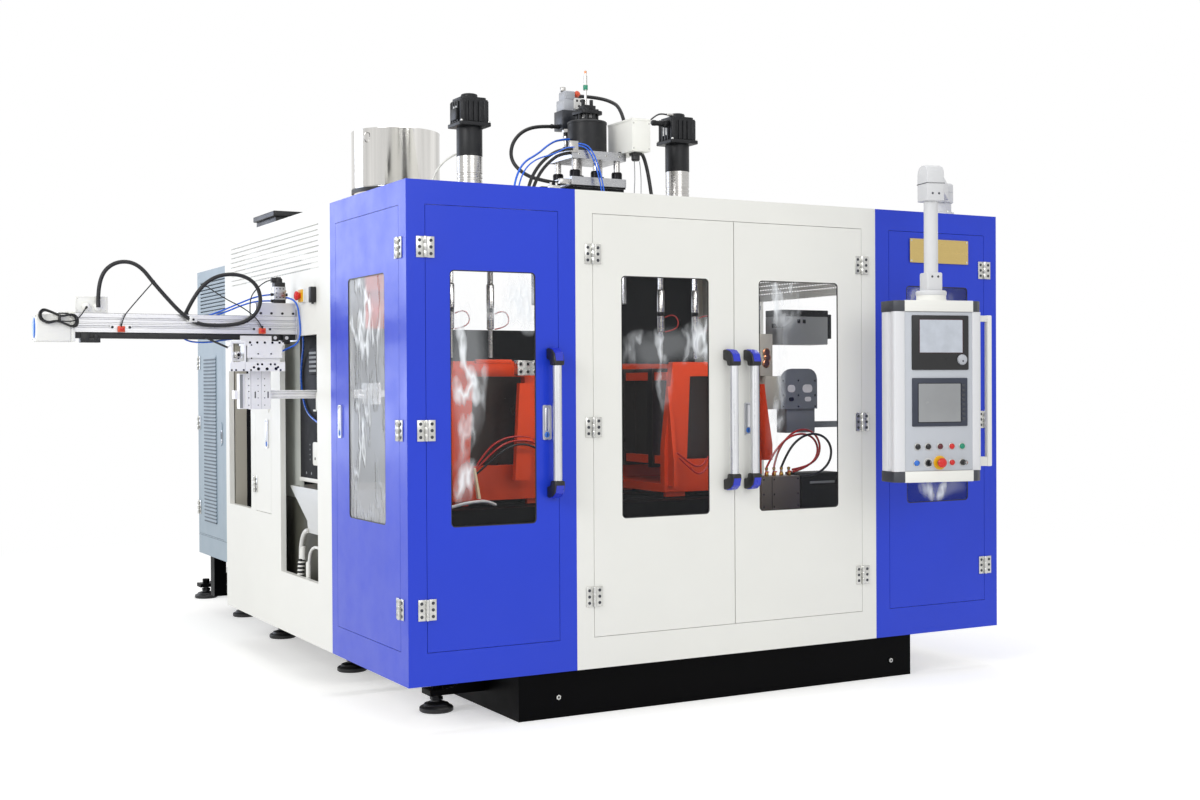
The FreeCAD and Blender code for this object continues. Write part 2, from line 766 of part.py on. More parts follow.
def make_station(name, side):
    x = side * station_x
    y0 = -frame_depth / 2
    y1 = frame_depth / 2
    sole = block(-frame_half_width, frame_half_width, y0, y1, shoe_z, shoe_z + frame_foot)
    parts = [end_frame(y0, y0 + frame_plate), end_frame(y1 - frame_plate, y1)]
    for gx in (-guide_x, guide_x):
        half = guide_width / 2
        parts.append(block(gx - half, gx + half, y0 + frame_plate - 1, y1 - frame_plate + 1, guide_low, guide_high))
        parts.append(block(gx - half, gx + half, y0 + frame_plate - 1, y1 - frame_plate + 1, tie_low, tie_high))
    for bx in (-frame_half_width + 20, frame_half_width - 40):
        parts.append(outline([V(bx, y0 + 1, shoe_z + 30), V(bx, y0 - 55, shoe_z + 30), V(bx, y0 - 55, shoe_z + 150),
                              V(bx, y0 + 1, frame_top - 120)], V(20, 0, 0)))
    parts.append(block(-170, 170, y1 - frame_plate, y1, 1010, 1250))
    parts.append(lying_prism(round_sides, 72.0, 0, 1130, y1 - 1, y1 + 175))
    for sx in (-frame_half_width + 20, frame_half_width - 130):
        for sy in (-rail_spacing / 2, rail_spacing / 2):
            half = rail_width / 2 + 22
            parts.append(block(sx, sx + 110, sy - half, sy + half, shoe_z - 24, shoe_z + 1))
    slots = [block(-33.0, 33.0, y1 - frame_plate - 1, y1 + 150, 1097, 1163)]
    for sy in (-rail_spacing / 2, rail_spacing / 2):
        half = rail_width / 2 + rail_play
        slots.append(block(-frame_half_width - 1, frame_half_width + 1, sy - half, sy + half, shoe_z - 30, shoe_z))
    save(name + "_clamp_frame", moved(cut(fuse(sole, *parts), *slots), x, 0, 0))
    save(name + "_front_mould", moved(mould_half(False), x, 0, 0))
    rear = mould_half(True).mirror(V(0, 0, 0), V(0, 1, 0))
    save(name + "_rear_mould", moved(rear, x, 0, 0))


def mould_half(with_rod):
    """Front half: a platen that rides between the guide bars and a mould block with two half bottles."""
    face_y = -parting_gap / 2
    back_y = face_y - mould_depth
    tool = block(-mould_half_width, mould_half_width, back_y - 1, face_y, mould_low, mould_high)
    plate = block(-platen_half_width, platen_half_width, back_y - platen_thick, back_y, platen_low, platen_high)
    half = guide_width / 2 + guide_play
    notches = []
    for gx in (-guide_x, guide_x):
        for z0, z1 in ((guide_low, guide_high), (tie_low, tie_high)):
            notches.append(block(gx - half, gx + half, back_y - 100, back_y + 1, z0 - guide_play, z1 + guide_play))
    for side in (-1, 1):
        notches.append(bottle(side * cavity_pitch / 2))
    body = cut(fuse(tool, plate), *notches)
    if with_rod:
        body = fuse(body, block(-30, 30, -frame_depth / 2 - 20, back_y - platen_thick + 1, 1100, 1160))
    return body


def bottle(x):
    """Cavity for one bottle: body and neck, both turned."""
    base = mould_high - bottle_height - neck_height
    body = prism(knob_sides, bottle_radius, x, 0, base, base + bottle_height)
    neck = prism(pin_sides, neck_radius, x, 0, base + bottle_height - 1, mould_high + 1)
    return fuse(body, neck)


# ---------------------------------------------------------------- blow units
def blow_unit(x):
    """Blow unit: tube, square body with cut corners, cap, and the bridge that hangs it under the roof."""
    tube_body = rod(blow_tube_radius, V(x, 0, blow_tube_low - 1), V(x, 0, blow_tube_high))
    half = blow_body_side / 2
    body = prism(8, half / math.cos(math.pi / 8), x, 0, blow_tube_high - 1, blow_body_high)
    cap = prism(knob_sides, blow_cap_radius, x, 0, blow_body_high - 1, blow_cap_high)
    y0, y1 = head_hole[2], head_hole[3]
    under_roof = roof_z - 2 * sheet - 1
    x0 = x - bridge_half
    x1 = x + bridge_half
    bridge = block(x0, x1, y0, y1, blow_tube_low - bridge_thick, blow_tube_low)
    hangers = [block(x0, x1, y0, y0 + hanger_thick, blow_tube_low - 1, under_roof),
               block(x0, x1, y1 - hanger_thick, y1, blow_tube_low - 1, under_roof)]
    hole_half = stem_half + stem_play
    hole = block(x - hole_half, x + hole_half, -hole_half, hole_half, blow_tube_low - 40, blow_tube_low + 260)
    return cut(fuse(tube_body, body, cap, bridge, *hangers), hole)


def make_blow_units():
    cylinders = [blow_unit(-station_x), blow_unit(station_x), parison_cylinder()]
    save("top_cylinders", *cylinders)
    for name, side in (("left", -1), ("right", 1)):
        x = side * station_x
        under = pin_crosshead_z - crosshead_thick
        over = pin_crosshead_z + crosshead_thick
        stem = block(x - stem_half, x + stem_half, -stem_half, stem_half, over - 1, blow_tube_low + 220)
        crosshead = block(x - crosshead_half, x + crosshead_half, -crosshead_depth, crosshead_depth, under, over)
        pins = []
        for offset in (-cavity_pitch / 2, cavity_pitch / 2):
            pins.append(prism(pin_sides, pin_radius, x + offset, 0, pin_collar_z - 1, under + 1))
            pins.append(prism(pin_sides, pin_tip_radius, x + offset, 0, pin_end_z, pin_collar_z))
        save(name + "_blow_pins", fuse(stem, crosshead, *pins))


def parison_cylinder():
    """Parison cylinder with its rod, valve and port block, on the upper head plate."""
    top = upper_plate_z + head_plate_thick
    reach = head_y + head_cylinder_radius
    cylinder_top = top + head_cylinder_height
    crown_low = cylinder_top + crown_rise
    cylinder = rod(head_cylinder_radius, V(0, head_y, top), V(0, head_y, cylinder_top))
    crown = prism(8, crown_radius, 0, head_y, crown_low, crown_low + crown_thick)
    studs = []
    for sx in (-1, 1):
        for sy in (-1, 1):
            x = crown_stud_x * sx
            studs.append(prism(hexagon, 9.0, x, head_y + crown_stud_x * sy, cylinder_top - 1, crown_low + 23))
    spindle = prism(8, 13.0, -15, head_y, cylinder_top - 1, top + spindle_top)
    y0 = reach + valve_start
    y1 = y0 + valve_depth
    port = block(valve_left + 14, valve_right - 18, reach - 20, y0 + 28, top, top + valve_low + 2)
    valve = block(valve_left, valve_right, y0, y1, top + valve_low, top + valve_high)
    pilot = block(valve_left + 16, valve_right - 2, y0 + 6, y1 - 6, top + valve_high - 1, top + pilot_high)
    return fuse(cylinder, crown, spindle, port, valve, pilot, *studs)


# ---------------------------------------------------------------- extrusion head
def make_head():
    body_top = lower_plate_z
    x_half = head_plate_x / 2 - 10
    y0 = head_y - head_plate_y / 2
    y1 = head_y + head_plate_y / 2
    half = head_plate_x / 2
    upper = block(-x_half, x_half, y0 + 12, barrel_front, roof_z - 60, body_top + 1)
    lower = block(-200, 200, head_y - 60, 150, 1720, roof_z - 59)
    lower = lower.makeChamfer(30, edges_where(lower, lambda e: e.BoundBox.ZLength > 200))
    parts = [lower]
    for side in (-1, 1):
        parts.append(prism(12, die_nose_radius, side * cavity_pitch / 2, 0, die_face_z, 1721))
    parts.append(block(-236, 236, head_hole[2] + 0.5, head_hole[3] - 0.5, roof_z - 2 * sheet, roof_z + 12))
    for wing_y in (head_hole[2] - 50, head_hole[3] - 6):
        parts.append(block(-300, 300, wing_y, wing_y + 56, roof_z - sheet, roof_z + 12))
    for plate_z in (lower_plate_z, upper_plate_z):
        parts.append(block(-half, half, y0, y1, plate_z, plate_z + head_plate_thick))
    plate_top = lower_plate_z + head_plate_thick
    for cx in (-half + column_inset, 0, half - column_inset):
        for cy in (y0 + column_inset, y1 - column_inset):
            parts.append(prism(pin_sides, column_radius, cx, cy, plate_top - 1, upper_plate_z + 1))
            parts.append(prism(hexagon, column_radius + nut_lap, cx, cy, plate_top - 1, plate_top + nut_height))
    save("extrusion_head", fuse(upper, *parts))
    top = upper_plate_z + head_plate_thick
    box_body = block(half - 18, half + 84, head_y - 215, head_y + 25, top + seat_gap, 2612)
    gland = prism(6, 17.0, half + 50, head_y - 160, top - 40, top + 1)
    save("signal_box", fuse(box_body, gland))


# ---------------------------------------------------------------- extruder
def make_extruder():
    back = throat_y - throat_side / 2
    flange_end = barrel_front + flange_thick
    front = barrel_front + seat_gap
    tube_body = lying_prism(knob_sides, barrel_radius, 0, barrel_z, front, back - seat_gap)
    flange = lying_prism(knob_sides, flange_radius, 0, barrel_z, front, flange_end)
    parts = [flange]
    for i in range(heater_count):
        y = flange_end + heater_gap + i * (heater_length + heater_gap)
        parts.append(lying_prism(knob_sides, heater_radius, 0, barrel_z, y, y + heater_length))
    bore = lying_prism(8, barrel_bore, 0, barrel_z, barrel_front + 60, back + 1)
    save("extruder_barrel", cut(fuse(tube_body, *parts), bore))
    half = cover_half_width
    low = roof_z + 12.3
    cover = block(-half, half, flange_end + 20, back - 30, low, cover_top)
    inside = block(-half + 2, half - 2, flange_end + 19, back - 29, low - 1, cover_top - 2)
    vents = []
    for i in range(cover_vents):
        y = flange_end + 160 + i * (back - flange_end - 340) / (cover_vents - 1)
        vents.append(block(-half + 30, half - 30, y, y + 60, cover_top - 3, cover_top + 1))
    save("barrel_cover", cut(cover, inside, *vents))
    core = rod(screw_radius, V(0, barrel_front + 90, barrel_z), V(0, gearbox_front + 58, barrel_z))
    save("extruder_screw", core)
    half = throat_side / 2
    throat = block(-half, half, back, back + throat_side, barrel_z - 105, barrel_z + 130)
    throat = cut(throat, block(-barrel_bore, barrel_bore, back - 1, back + throat_side + 1, barrel_z - barrel_bore,
                               barrel_z + barrel_bore))
    neck = block(-70, 70, throat_y - 70, throat_y + 70, barrel_z + 129, hopper_low + 1)
    drawer = block(-110, 110, throat_y - 95, throat_y + 95, hopper_low - 97, hopper_low - 60)
    shell = prism(hopper_sides, hopper_radius, 0, throat_y, hopper_low, hopper_high)
    space = prism(hopper_sides, hopper_radius - hopper_wall, 0, throat_y, hopper_low + hopper_wall, hopper_high + 1)
    save("hopper", cut(fuse(throat, neck, drawer, shell), space))
    gear = block(-190, 190, gearbox_front, gearbox_back, barrel_z - 250, barrel_z + 170)
    gear = gear.makeChamfer(36, edges_where(gear, lambda e: e.BoundBox.YLength > 200))
    collar = block(-95, 95, throat_y + half + seat_gap, gearbox_front + 1, barrel_z - 95, barrel_z + 95)
    hole = rod(screw_radius + screw_play, V(0, throat_y + half, barrel_z), V(0, gearbox_front + 60, barrel_z))
    motor = lying_prism(round_sides, 150.0, 0, 1700, gearbox_front - 150, gearbox_back - 60)
    fins = block(-165, 165, gearbox_front - 120, gearbox_back - 110, 1600, 1800)
    seat = block(-140, 140, gearbox_front - 140, gearbox_back - 40, 1330.3, 1560)
    belt_case = block(-120, 120, gearbox_back - 61, gearbox_back + 6, 1560, barrel_z + 90)
    save("extruder_drive", cut(fuse(gear, collar, motor, fins, seat, belt_case), hole))


# ---------------------------------------------------------------- take-out robot
def make_robot():
    x1 = wall_x
    x0 = beam_x
    y0 = beam_front_y
    z0 = beam_low
    s = beam_side
    section = [V(0, 0, 0), V(0, s, 0), V(0, s, s), V(0, 0, s), V(0, 0, 62), V(0, 6, 59), V(0, 6, 55), V(0, 0, 52),
               V(0, 0, 28), V(0, 6, 25), V(0, 6, 21), V(0, 0, 18)]
    beam = moved(outline(section, V(beam_length, 0, 0)), x0, y0, z0)
    rail = block(x0 + 4, x1 - 4, y0 + 14, y0 + s - 14, z0 - 25, z0)
    bracket_top = z0 + s + bracket_height
    bracket = block(x1 - bracket_end, x1 - bracket_start, y0 + 4, y0 + 60, z0 + s - 1, bracket_top)
    pocket = block(x1 - bracket_end + 18, x1 - bracket_start - 18, y0 + 14, y0 + 61, z0 + s + 10, bracket_top - 10)
    stop = block(x0 + stop_start, x0 + stop_end, y0 + 6, y0 + 50, z0 - 43, z0 - 24)
    end_plate = block(x1 - 12, x1, y0 - 6, y0 + s + 20, z0 - 30, z0 + s + 30)
    save("robot_beam", fuse(beam, rail, cut(bracket, pocket), stop, end_plate))
    drive = block(x0 - 159, x0 - 0.3, y0 - 8, y0 + s + 8, 1510, 1624)
    drive = drive.makeChamfer(8, edges_where(drive, lambda e: e.BoundBox.YLength > 80))
    junction = block(x0 + 2, x0 + 132, y0, y0 + 66, z0 + s + 0.3, z0 + s + 68)
    lip = block(x0 - 60, x0 + 20, y0 + 20, y0 + 60, z0 + s + 0.3, z0 + s + 5)
    glands = []
    for gx in [x0 + start for start in gland_x]:
        elbow = block(gx - 12, gx + 12, y0 - 26, y0 + 1, z0 + s + 12, z0 + s + 36)
        glands.append(fuse(elbow, prism(6, 11.0, gx, y0 - 13, z0 + s + 35, z0 + s + 48)))
    riser = block(x0 - 60, x0 - 20, y0 + 20, y0 + 60, 1622, z0 + s + 1)
    save("robot_drive", fuse(drive, riser, lip, junction, *glands))
    cx = carriage_x
    front = y0 - carriage_face - 20
    c0 = cx - carriage_half
    c1 = cx + carriage_half
    saddle = block(c0, c1, y0 + 6, y0 + s - 6, z0 - 40, z0 - 25.4)
    cheeks = [block(c0, c1, y0 + yy, y0 + yy + 10, z0 - 41, z0 - 8) for yy in (3.4, s - 13.4)]
    top_plate = block(cx - 78, cx + 77, front, front + 12, 1444, 1517)
    shelf = block(c0, c1, front, y0 + 30, z0 - 52, z0 - 39)
    cross = block(cx - cross_reach, c1, front - 16, front + 12, 1386, 1426)
    ears = [block(ex, ex + 8, front, front + 64, 1424, 1517) for ex in (cx - 149, cx - 91)]
    ear_top = block(cx - 149, cx - 83, front, front + 64, 1507, 1517)
    back = block(cx - 70, cx + 70, front + 11, front + 30, 1386, z0 - 40)
    damper = lying_prism(12, 15.0, cx - 116, 1457, front + 12, front + 60)
    damper_bar = block(cx - 149, cx - 83, front + 20, front + 50, 1430, 1445)
    damper_post = block(cx - 122, cx - 110, front + 20, front + 50, 1440, 1460)
    save("robot_carriage", fuse(saddle, shelf, top_plate, cross, ear_top, back, damper, damper_bar, damper_post,
                                *(cheeks + ears)))
    slide_y = front + 30.3
    plate = block(cx - 62, cx + 33, slide_y, slide_y + 12, 1220, 1410)
    profile = block(cx - 105, cx - 62, slide_y + 2, slide_y + 42, 1222, 1376)
    groove = block(cx - 92, cx - 76, slide_y, slide_y + 8, 1221, 1377)
    grip_x = x1 + gripper_reach
    arm = block(cx - 124, grip_x, slide_y + 12, slide_y + 52, 1265, 1303)
    arm_groove = block(cx + 40, grip_x + 1, slide_y + 11, slide_y + 18, 1280, 1288)
    grip_plate = block(grip_x - gripper_plate, grip_x, slide_y - 60, slide_y + 160, 1235, 1333)
    fingers = [block(grip_x - 1, grip_x + finger_length - 1, slide_y + fy, slide_y + fy + 16, 1270, 1298)
               for fy in (-50, -10, 90, 130)]
    save("robot_lift", fuse(cut(profile, groove), plate, cut(arm, arm_groove), grip_plate, *fingers))


def make_side_controls():
    """Emergency stop, switch box and air valve on the left side, by the robot."""
    x = wall_x
    plate = block(x - 4, x, -200, -136, 1690, 1748)
    neck = turned(lying_prism(knob_sides, 14.0, 0, 1719, 0, 30), 0, 0, 90)
    head = turned(lying_prism(knob_sides, 20.0, 0, 1719, 24, 44), 0, 0, 90)
    neck = moved(neck, x, -168, 0)
    head = moved(head, x, -168, 0)
    switch = block(x - 26, x, -342, -256, 1682, 1750)
    seat_z = beam_low + beam_side + bracket_height + seat_gap
    valve = block(x - 110, x - 58, beam_front_y + 8, beam_front_y + 52, seat_z, seat_z + 92)
    coil = prism(8, 17.0, x - 86, beam_front_y + 30, seat_z + 91, seat_z + 118)
    save("side_controls", fuse(plate, neck, head), switch, fuse(valve, coil))


# ---------------------------------------------------------------- pendant
def on_pendant(shape):
    """Places a piece drawn with the box axis at the origin and its face looking to -Y."""
    copy = shape.copy()
    copy.rotate(V(0, 0, 0), V(0, 0, 1), pendant_yaw)
    return moved(copy, pendant_x, pendant_y, 0)


face_y = -box_depth / 2
pocket_half = 8.3
button_rows = ((1052.0, (-101, -52, 4, 59, 108)), (984.0, (-106, -52, 3, 60, 110)))


def make_pendant():
    foot = prism(round_sides, 58.0, post_x, post_y, roof_z - sheet, roof_z + 18)
    post = prism(round_sides, 44.0, post_x, post_y, roof_z + 17, roof_z + 60)
    save("roof_fittings", fuse(foot, post), vent_box())
    arm_low = roof_z + 60.3
    hub = rod(52.0, V(post_x, post_y, arm_low), V(post_x, post_y, 2239))
    dx = pendant_x - post_x
    dy = pendant_y - post_y
    reach = math.hypot(dx, dy)
    angle = math.degrees(math.atan2(dy, dx))
    beam = block(0, reach, -34, 34, 2162, 2232)
    beam.rotate(V(0, 0, 0), V(0, 0, 1), angle)
    beam = moved(beam, post_x, post_y, 0)
    elbow = block(-40, 40, -44, 44, 2086, 2239)
    crown_edges = edges_where(elbow, lambda e: e.BoundBox.ZMin > 2238 and e.BoundBox.XLength < 1)
    elbow = on_pendant(elbow.makeChamfer(24, crown_edges))
    drop = rod(30.0, V(pendant_x, pendant_y, 1708), V(pendant_x, pendant_y, 2090))
    collar = prism(round_sides, 65.0, pendant_x, pendant_y, 1690, 1709)
    socket = on_pendant(block(-36, 36, -36, 36, 1708, 1785))
    save("pendant_arm", fuse(hub, beam, elbow, drop, collar, socket))

    half = box_width / 2
    face_half = box_face_width / 2
    y0 = face_y
    y1 = box_depth / 2
    z0 = box_low + cap_height
    z1 = box_high - cap_height
    profile = [V(-half, y0 + 8, z0), V(-face_half - 1, y0, z0), V(-face_half - 1, y0 + 14, z0), V(face_half + 1, y0 + 14, z0),
               V(face_half + 1, y0, z0), V(half, y0 + 8, z0), V(half, y0 + 40, z0), V(half - 5, y0 + 44, z0),
               V(half - 5, y0 + 62, z0), V(half, y0 + 66, z0), V(half, y1, z0), V(-half, y1, z0), V(-half, y0 + 66, z0),
               V(-half + 5, y0 + 62, z0), V(-half + 5, y0 + 44, z0), V(-half, y0 + 40, z0)]
    case = outline(profile, V(0, 0, z1 - z0))
    caps = []
    for a, b in ((z1 - 1, box_high), (box_low, z0 + 1)):
        caps.append(outline([V(-half - 2, y0 + 10, a), V(-face_half, y0 - 3, a), V(face_half, y0 - 3, a),
                             V(half + 2, y0 + 10, a), V(half + 2, y1 + 2, a), V(-half - 2, y1 + 2, a)], V(0, 0, b - a)))
    base = prism(round_sides, 62.0, 0, 0, box_high - 1, 1689.7)
    handle = [block(half - 6, half + 72, y0 + 44, y0 + 62, 1580, 1606), block(half - 6, half + 72, y0 + 44, y0 + 62, 963, 1003),
              block(half + 50, half + 72, y0 + 40, y0 + 66, 963, 1606)]
    save("pendant_box", on_pendant(fuse(case, base, *(caps + handle))))
    skin = block(-face_half, face_half, y0 + 2, y0 + 13.7, z0 + 2, z1 - 2)
    screens = [block(-127, 139, y0 - 4, y0 + 3, 1374, 1603), block(-126, 133, y0 - 4, y0 + 3, 1137, 1340)]
    buttons = []
    for row, (z, columns) in enumerate(button_rows):
        for i, x in enumerate(columns):
            if row == 1 and i in (1, 2, 4):
                continue
            buttons.append(lying_prism(pin_sides, 14.5, x, z, y0 - 12, y0 + 3))
    pockets = []
    for i in (1, 2, 4):
        x = button_rows[1][1][i]
        pockets.append(block(x - pocket_half, x + pocket_half, y0 - 1, y0 + 14, 984 - pocket_half, 984 + pocket_half))
    save("pendant_face", on_pendant(cut(fuse(skin, *(screens + buttons)), *pockets)))
    x = button_rows[1][1][2]
    save("emergency_stop", control(x, y0, lying_prism(12, 20.0, x, 984, y0 - 30, y0 - 9)))
    x = button_rows[1][1][1]
    lever = block(x - 4, x + 4, y0 - 22, y0 - 7, 972, 996)
    save("selector_switch", control(x, y0, fuse(lying_prism(12, 14.0, x, 984, y0 - 8, y0 + 1.7), lever)))
    x = button_rows[1][1][4]
    key = fuse(lying_prism(12, 13.0, x, 984, y0 - 10, y0 + 1.7), block(x - 1.5, x + 1.5, y0 - 24, y0 - 9, 979, 989),
               block(x - 1.5, x + 1.5, y0 - 44, y0 - 23, 972, 996))
    save("key_switch", control(x, y0, key))


def control(x, y0, head):
    """A control's head on the spindle that sits in its pocket in the face plate."""
    turn_radius = 8.0
    spindle = lying_prism(8, turn_radius, x, 984, y0 - 9.5, y0 + 8)
    return on_pendant(fuse(spindle, head))


# ---------------------------------------------------------------- smaller fixed pieces
chute_gap = 46.5
chute_outside = ((-322, 862), (172, 862), (-80, 716), (-95, 664), (-322, 664))
chute_inside = ((-319, 863), (166, 863), (-84, 717), (-99, 660), (-319, 660))


def make_small_pieces():
    x0 = -half_width + fold + 6
    x1 = -table_half_width - chute_gap
    wall = 3.0
    chute = outline([V(x0, y, z) for y, z in chute_outside], V(x1 - x0, 0, 0))
    space = outline([V(x0 + wall, y, z) for y, z in chute_inside], V(x1 - x0 - 2 * wall, 0, 0))
    foot = block(x0 + 194, -table_half_width - seat_gap, -319, -290, base_top + seat_gap, 700)
    save("discharge_chute", fuse(cut(chute, space), foot))
    body = block(730, 960, table_front - 120, table_front - 0.3, 700, 862)
    fittings = [prism(6, 9.0, fx, table_front - 60, 861, 902) for fx in (755, 800, 845, 890, 935)]
    save("water_manifold", fuse(body, *fittings))


def vent_box():
    """Low duct with a lid that stands over its sides."""
    x0 = -half_width + vent_inset
    x1 = x0 + vent_width
    y0 = vent_front
    y1 = y0 + vent_length
    neck_top = roof_z + vent_rise
    vent = block(x0, x1, y0, y1, roof_z - sheet, neck_top)
    lid = block(x0 - vent_lap, x1 + vent_lap, y0 - vent_lap, y1 + vent_lap, neck_top - 1, neck_top + vent_lid)
    return fuse(vent, lid)


def bent_tube(points, radius):
    """Tube along straight runs joined by tangent arcs; each arc takes 0.45 of the shorter run."""
    edges = []
    start = points[0]
    for i in range(1, len(points) - 1):
        corner = points[i]
        back = points[i - 1].sub(corner)
        ahead = points[i + 1].sub(corner)
        share = bend_share * min(back.Length, ahead.Length)
        half = back.getAngle(ahead) / 2
        back.normalize()
        ahead.normalize()
        enter = corner + back * share
        leave = corner + ahead * share
        centre = corner + (back + ahead).normalize() * (share / math.cos(half))
        bend = share * math.tan(half)
        middle = centre + (corner - centre).normalize() * bend
        edges.append(Part.LineSegment(start, enter).toShape())
        edges.append(Part.Arc(enter, middle, leave).toShape())
        print("   bend radius %5.0f  turn %3.0f" % (bend, 180 - 2 * math.degrees(half)))
        start = leave
    edges.append(Part.LineSegment(start, points[-1]).toShape())
    path = Part.Wire(edges)
    body = path.makePipeShell([hose_section(points[0], points[1] - points[0], radius)], True, False)
    area = hose_sides / 2 * radius ** 2 * math.sin(2 * math.pi / hose_sides)
    print("   hose length %6.0f  volume ratio %.3f" % (path.Length, body.Volume / (area * path.Length)))
    return body


def hose_section(centre, direction, radius):
    along = V(direction).normalize()
    across = along.cross(V(0, 1, 0)).normalize()
    up = along.cross(across)
    ring = []
    for i in range(hose_sides):
        angle = 2 * math.pi * i / hose_sides
        ring.append(centre + across * (radius * math.cos(angle)) + up * (radius * math.sin(angle)))
    return Part.makePolygon(ring + [ring[0]])


bend_share = 0.45
hose_sides = 6


no_shift = V(0, 0, 0)


def route(shift, *triples):
    return [V(*t) + shift for t in triples]


wall_shift = V(wall_x + 1462.8, 0, 0)
robot_cable = route(wall_shift, (-2330.8, -111, 1679.3), (-2330.8, -113, 1775), (-2268, -120, 1848), (-2172, -128, 1846),
                    (-2090, -126, 1740), (-1950, -120, 1592), (-1820, -118, 1582),
                    (-1700, -122, 1600), (-1640, -128, 1676), (-1660, -132, 1768), (-1740, -134, 1812),
                    (-1846, -132, 1800), (-1925, -118, 1730), (-1962, -84, 1635.5))
head_loop = route(no_shift, (-77.0, 50, 2606), (-180, 46, 2604), (-282, 36, 2572), (-352, 20, 2500), (-372, -10, 2410),
                  (-318, -50, 2340), (-232, -84, 2312), (-152, -92, 2304))
head_arc = route(no_shift, (8.5, 60, 2770), (98, 40, 2770), (172, -20, 2748), (198, -95, 2700), (198, -130, 2616))
air_line = route(no_shift, (-98.5, -105, 2520), (-165, -120, 2512), (-240, -160, 2478), (-320, -200, 2420),
                 (-412, -232, 2372), (-470, -268, 2290), (-496, -290, 2190), (-500, -296, 2088))


def make_hoses():
    save("hoses_and_cables", bent_tube(robot_cable, 8.5), bent_tube(head_loop, 9.0), bent_tube(head_arc, 9.0),
         bent_tube(air_line, 5.0))


make_base()
make_ladder()
make_feet()
make_corner_housings()
make_centre_front()
make_side_panels()
make_roof()
make_inner_frame()
make_rear_guard()
make_doors()
make_cabinet()
make_hinges()
make_station("left", -1)
make_station("right", 1)
make_blow_units()
make_head()
make_extruder()
make_robot()
make_side_controls()
make_pendant()
make_small_pieces()
make_hoses()
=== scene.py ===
import math

import bmesh
import bpy
from mathutils import Matrix, Vector


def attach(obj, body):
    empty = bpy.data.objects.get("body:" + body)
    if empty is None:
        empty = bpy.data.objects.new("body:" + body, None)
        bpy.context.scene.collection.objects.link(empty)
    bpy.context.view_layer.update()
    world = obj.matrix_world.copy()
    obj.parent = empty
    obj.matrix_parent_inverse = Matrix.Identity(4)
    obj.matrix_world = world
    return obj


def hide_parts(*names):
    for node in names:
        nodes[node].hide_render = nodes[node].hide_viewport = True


# A double-station blow moulding machine, dressed around its CAD frame.
# Sizes below are millimetres; every piece is scaled to metres when it is finished.

mm = 0.001
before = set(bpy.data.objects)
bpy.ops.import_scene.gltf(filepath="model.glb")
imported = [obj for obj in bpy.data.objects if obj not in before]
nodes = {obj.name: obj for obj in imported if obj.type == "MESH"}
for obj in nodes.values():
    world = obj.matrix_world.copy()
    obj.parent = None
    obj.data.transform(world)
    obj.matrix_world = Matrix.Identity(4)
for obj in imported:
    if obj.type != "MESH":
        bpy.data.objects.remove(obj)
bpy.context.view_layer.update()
print("frame loaded,", len(nodes), "nodes")

front = -1388.0                      # outer face of the front sheets
leftWall = -1462.5                   # outer face of the left side sheets
roof = 2090.0
toFront, toLeft, upward = (0, -1, 0), (-1, 0, 0), (0, 0, 1)


# the camera comes first, because the cords are judged by what it sees

view = {"place": (-3549.7, -6666.65, 1314.97), "right": (0.87588929, -0.48248286, -0.00531461),
    "up": (0.0092018, 0.00569027, 0.99994147), "ahead": (0.48242438, 0.87588693, -0.00942376),
    "lens": 45.41}


def setCamera():
    camera = bpy.data.objects.new("camera", bpy.data.cameras.new("camera"))
    camera.data.lens = view["lens"]
    camera.data.sensor_width = 36
    turn = Matrix((view["right"], view["up"], [-c for c in view["ahead"]])).transposed()
    camera.matrix_world = Matrix.Translation(Vector(view["place"]) * mm) @ turn.to_4x4()
    camera.data.clip_end = 200
    bpy.context.scene.collection.objects.link(camera)
    bpy.context.scene.camera = camera


setCamera()
print("camera set")


# finishes, kept by name
finishes = {}


def fromHex(code):
    parts = [int(code[i:i + 2], 16) / 255 for i in (0, 2, 4)]
    return [c / 12.92 if c <= 0.04045 else ((c + 0.055) / 1.055) ** 2.4 for c in parts] + [1]


def newFinish(name):
    finishes[name] = bpy.data.materials.new(name)
    finishes[name].use_nodes = True
    tree = finishes[name].node_tree
    shader = tree.nodes["Principled BSDF"]
    where = tree.nodes.new("ShaderNodeTexCoord")
    spread = tree.nodes.new("ShaderNodeMapping")
    tree.links.new(where.outputs["Object"], spread.inputs["Vector"])
    return tree, shader, spread


def addNoise(tree, spread, scale, detail=4.0, rough=0.55):
    noise = tree.nodes.new("ShaderNodeTexNoise")
    noise.inputs["Scale"].default_value = scale
    noise.inputs["Detail"].default_value = detail
    noise.inputs["Roughness"].default_value = rough
    tree.links.new(spread.outputs["Vector"], noise.inputs["Vector"])
    return noise.outputs["Fac"]


def ranged(tree, value, low, high, fromLow=0.3, fromHigh=0.7):
    spreadOut = tree.nodes.new("ShaderNodeMapRange")
    for slot, number in (("From Min", fromLow), ("From Max", fromHigh), ("To Min", low), ("To Max", high)):
        spreadOut.inputs[slot].default_value = number
    tree.links.new(value, spreadOut.inputs["Value"])
    return spreadOut.outputs["Result"]


def blended(tree, factor, first, second):
    mix = tree.nodes.new("ShaderNodeMix")
    mix.data_type = "RGBA"
    for slot, given in ((0, factor), (6, first), (7, second)):
        if isinstance(given, bpy.types.NodeSocket):
            tree.links.new(given, mix.inputs[slot])
        else:
            mix.inputs[slot].default_value = given
    return mix.outputs[2]


def bumpFrom(tree, shader, height, strength, distance):
    bump = tree.nodes.new("ShaderNodeBump")
    bump.inputs["Strength"].default_value = strength
    bump.inputs["Distance"].default_value = distance
    tree.links.new(height, bump.inputs["Height"])
    tree.links.new(bump.outputs["Normal"], shader.inputs["Normal"])


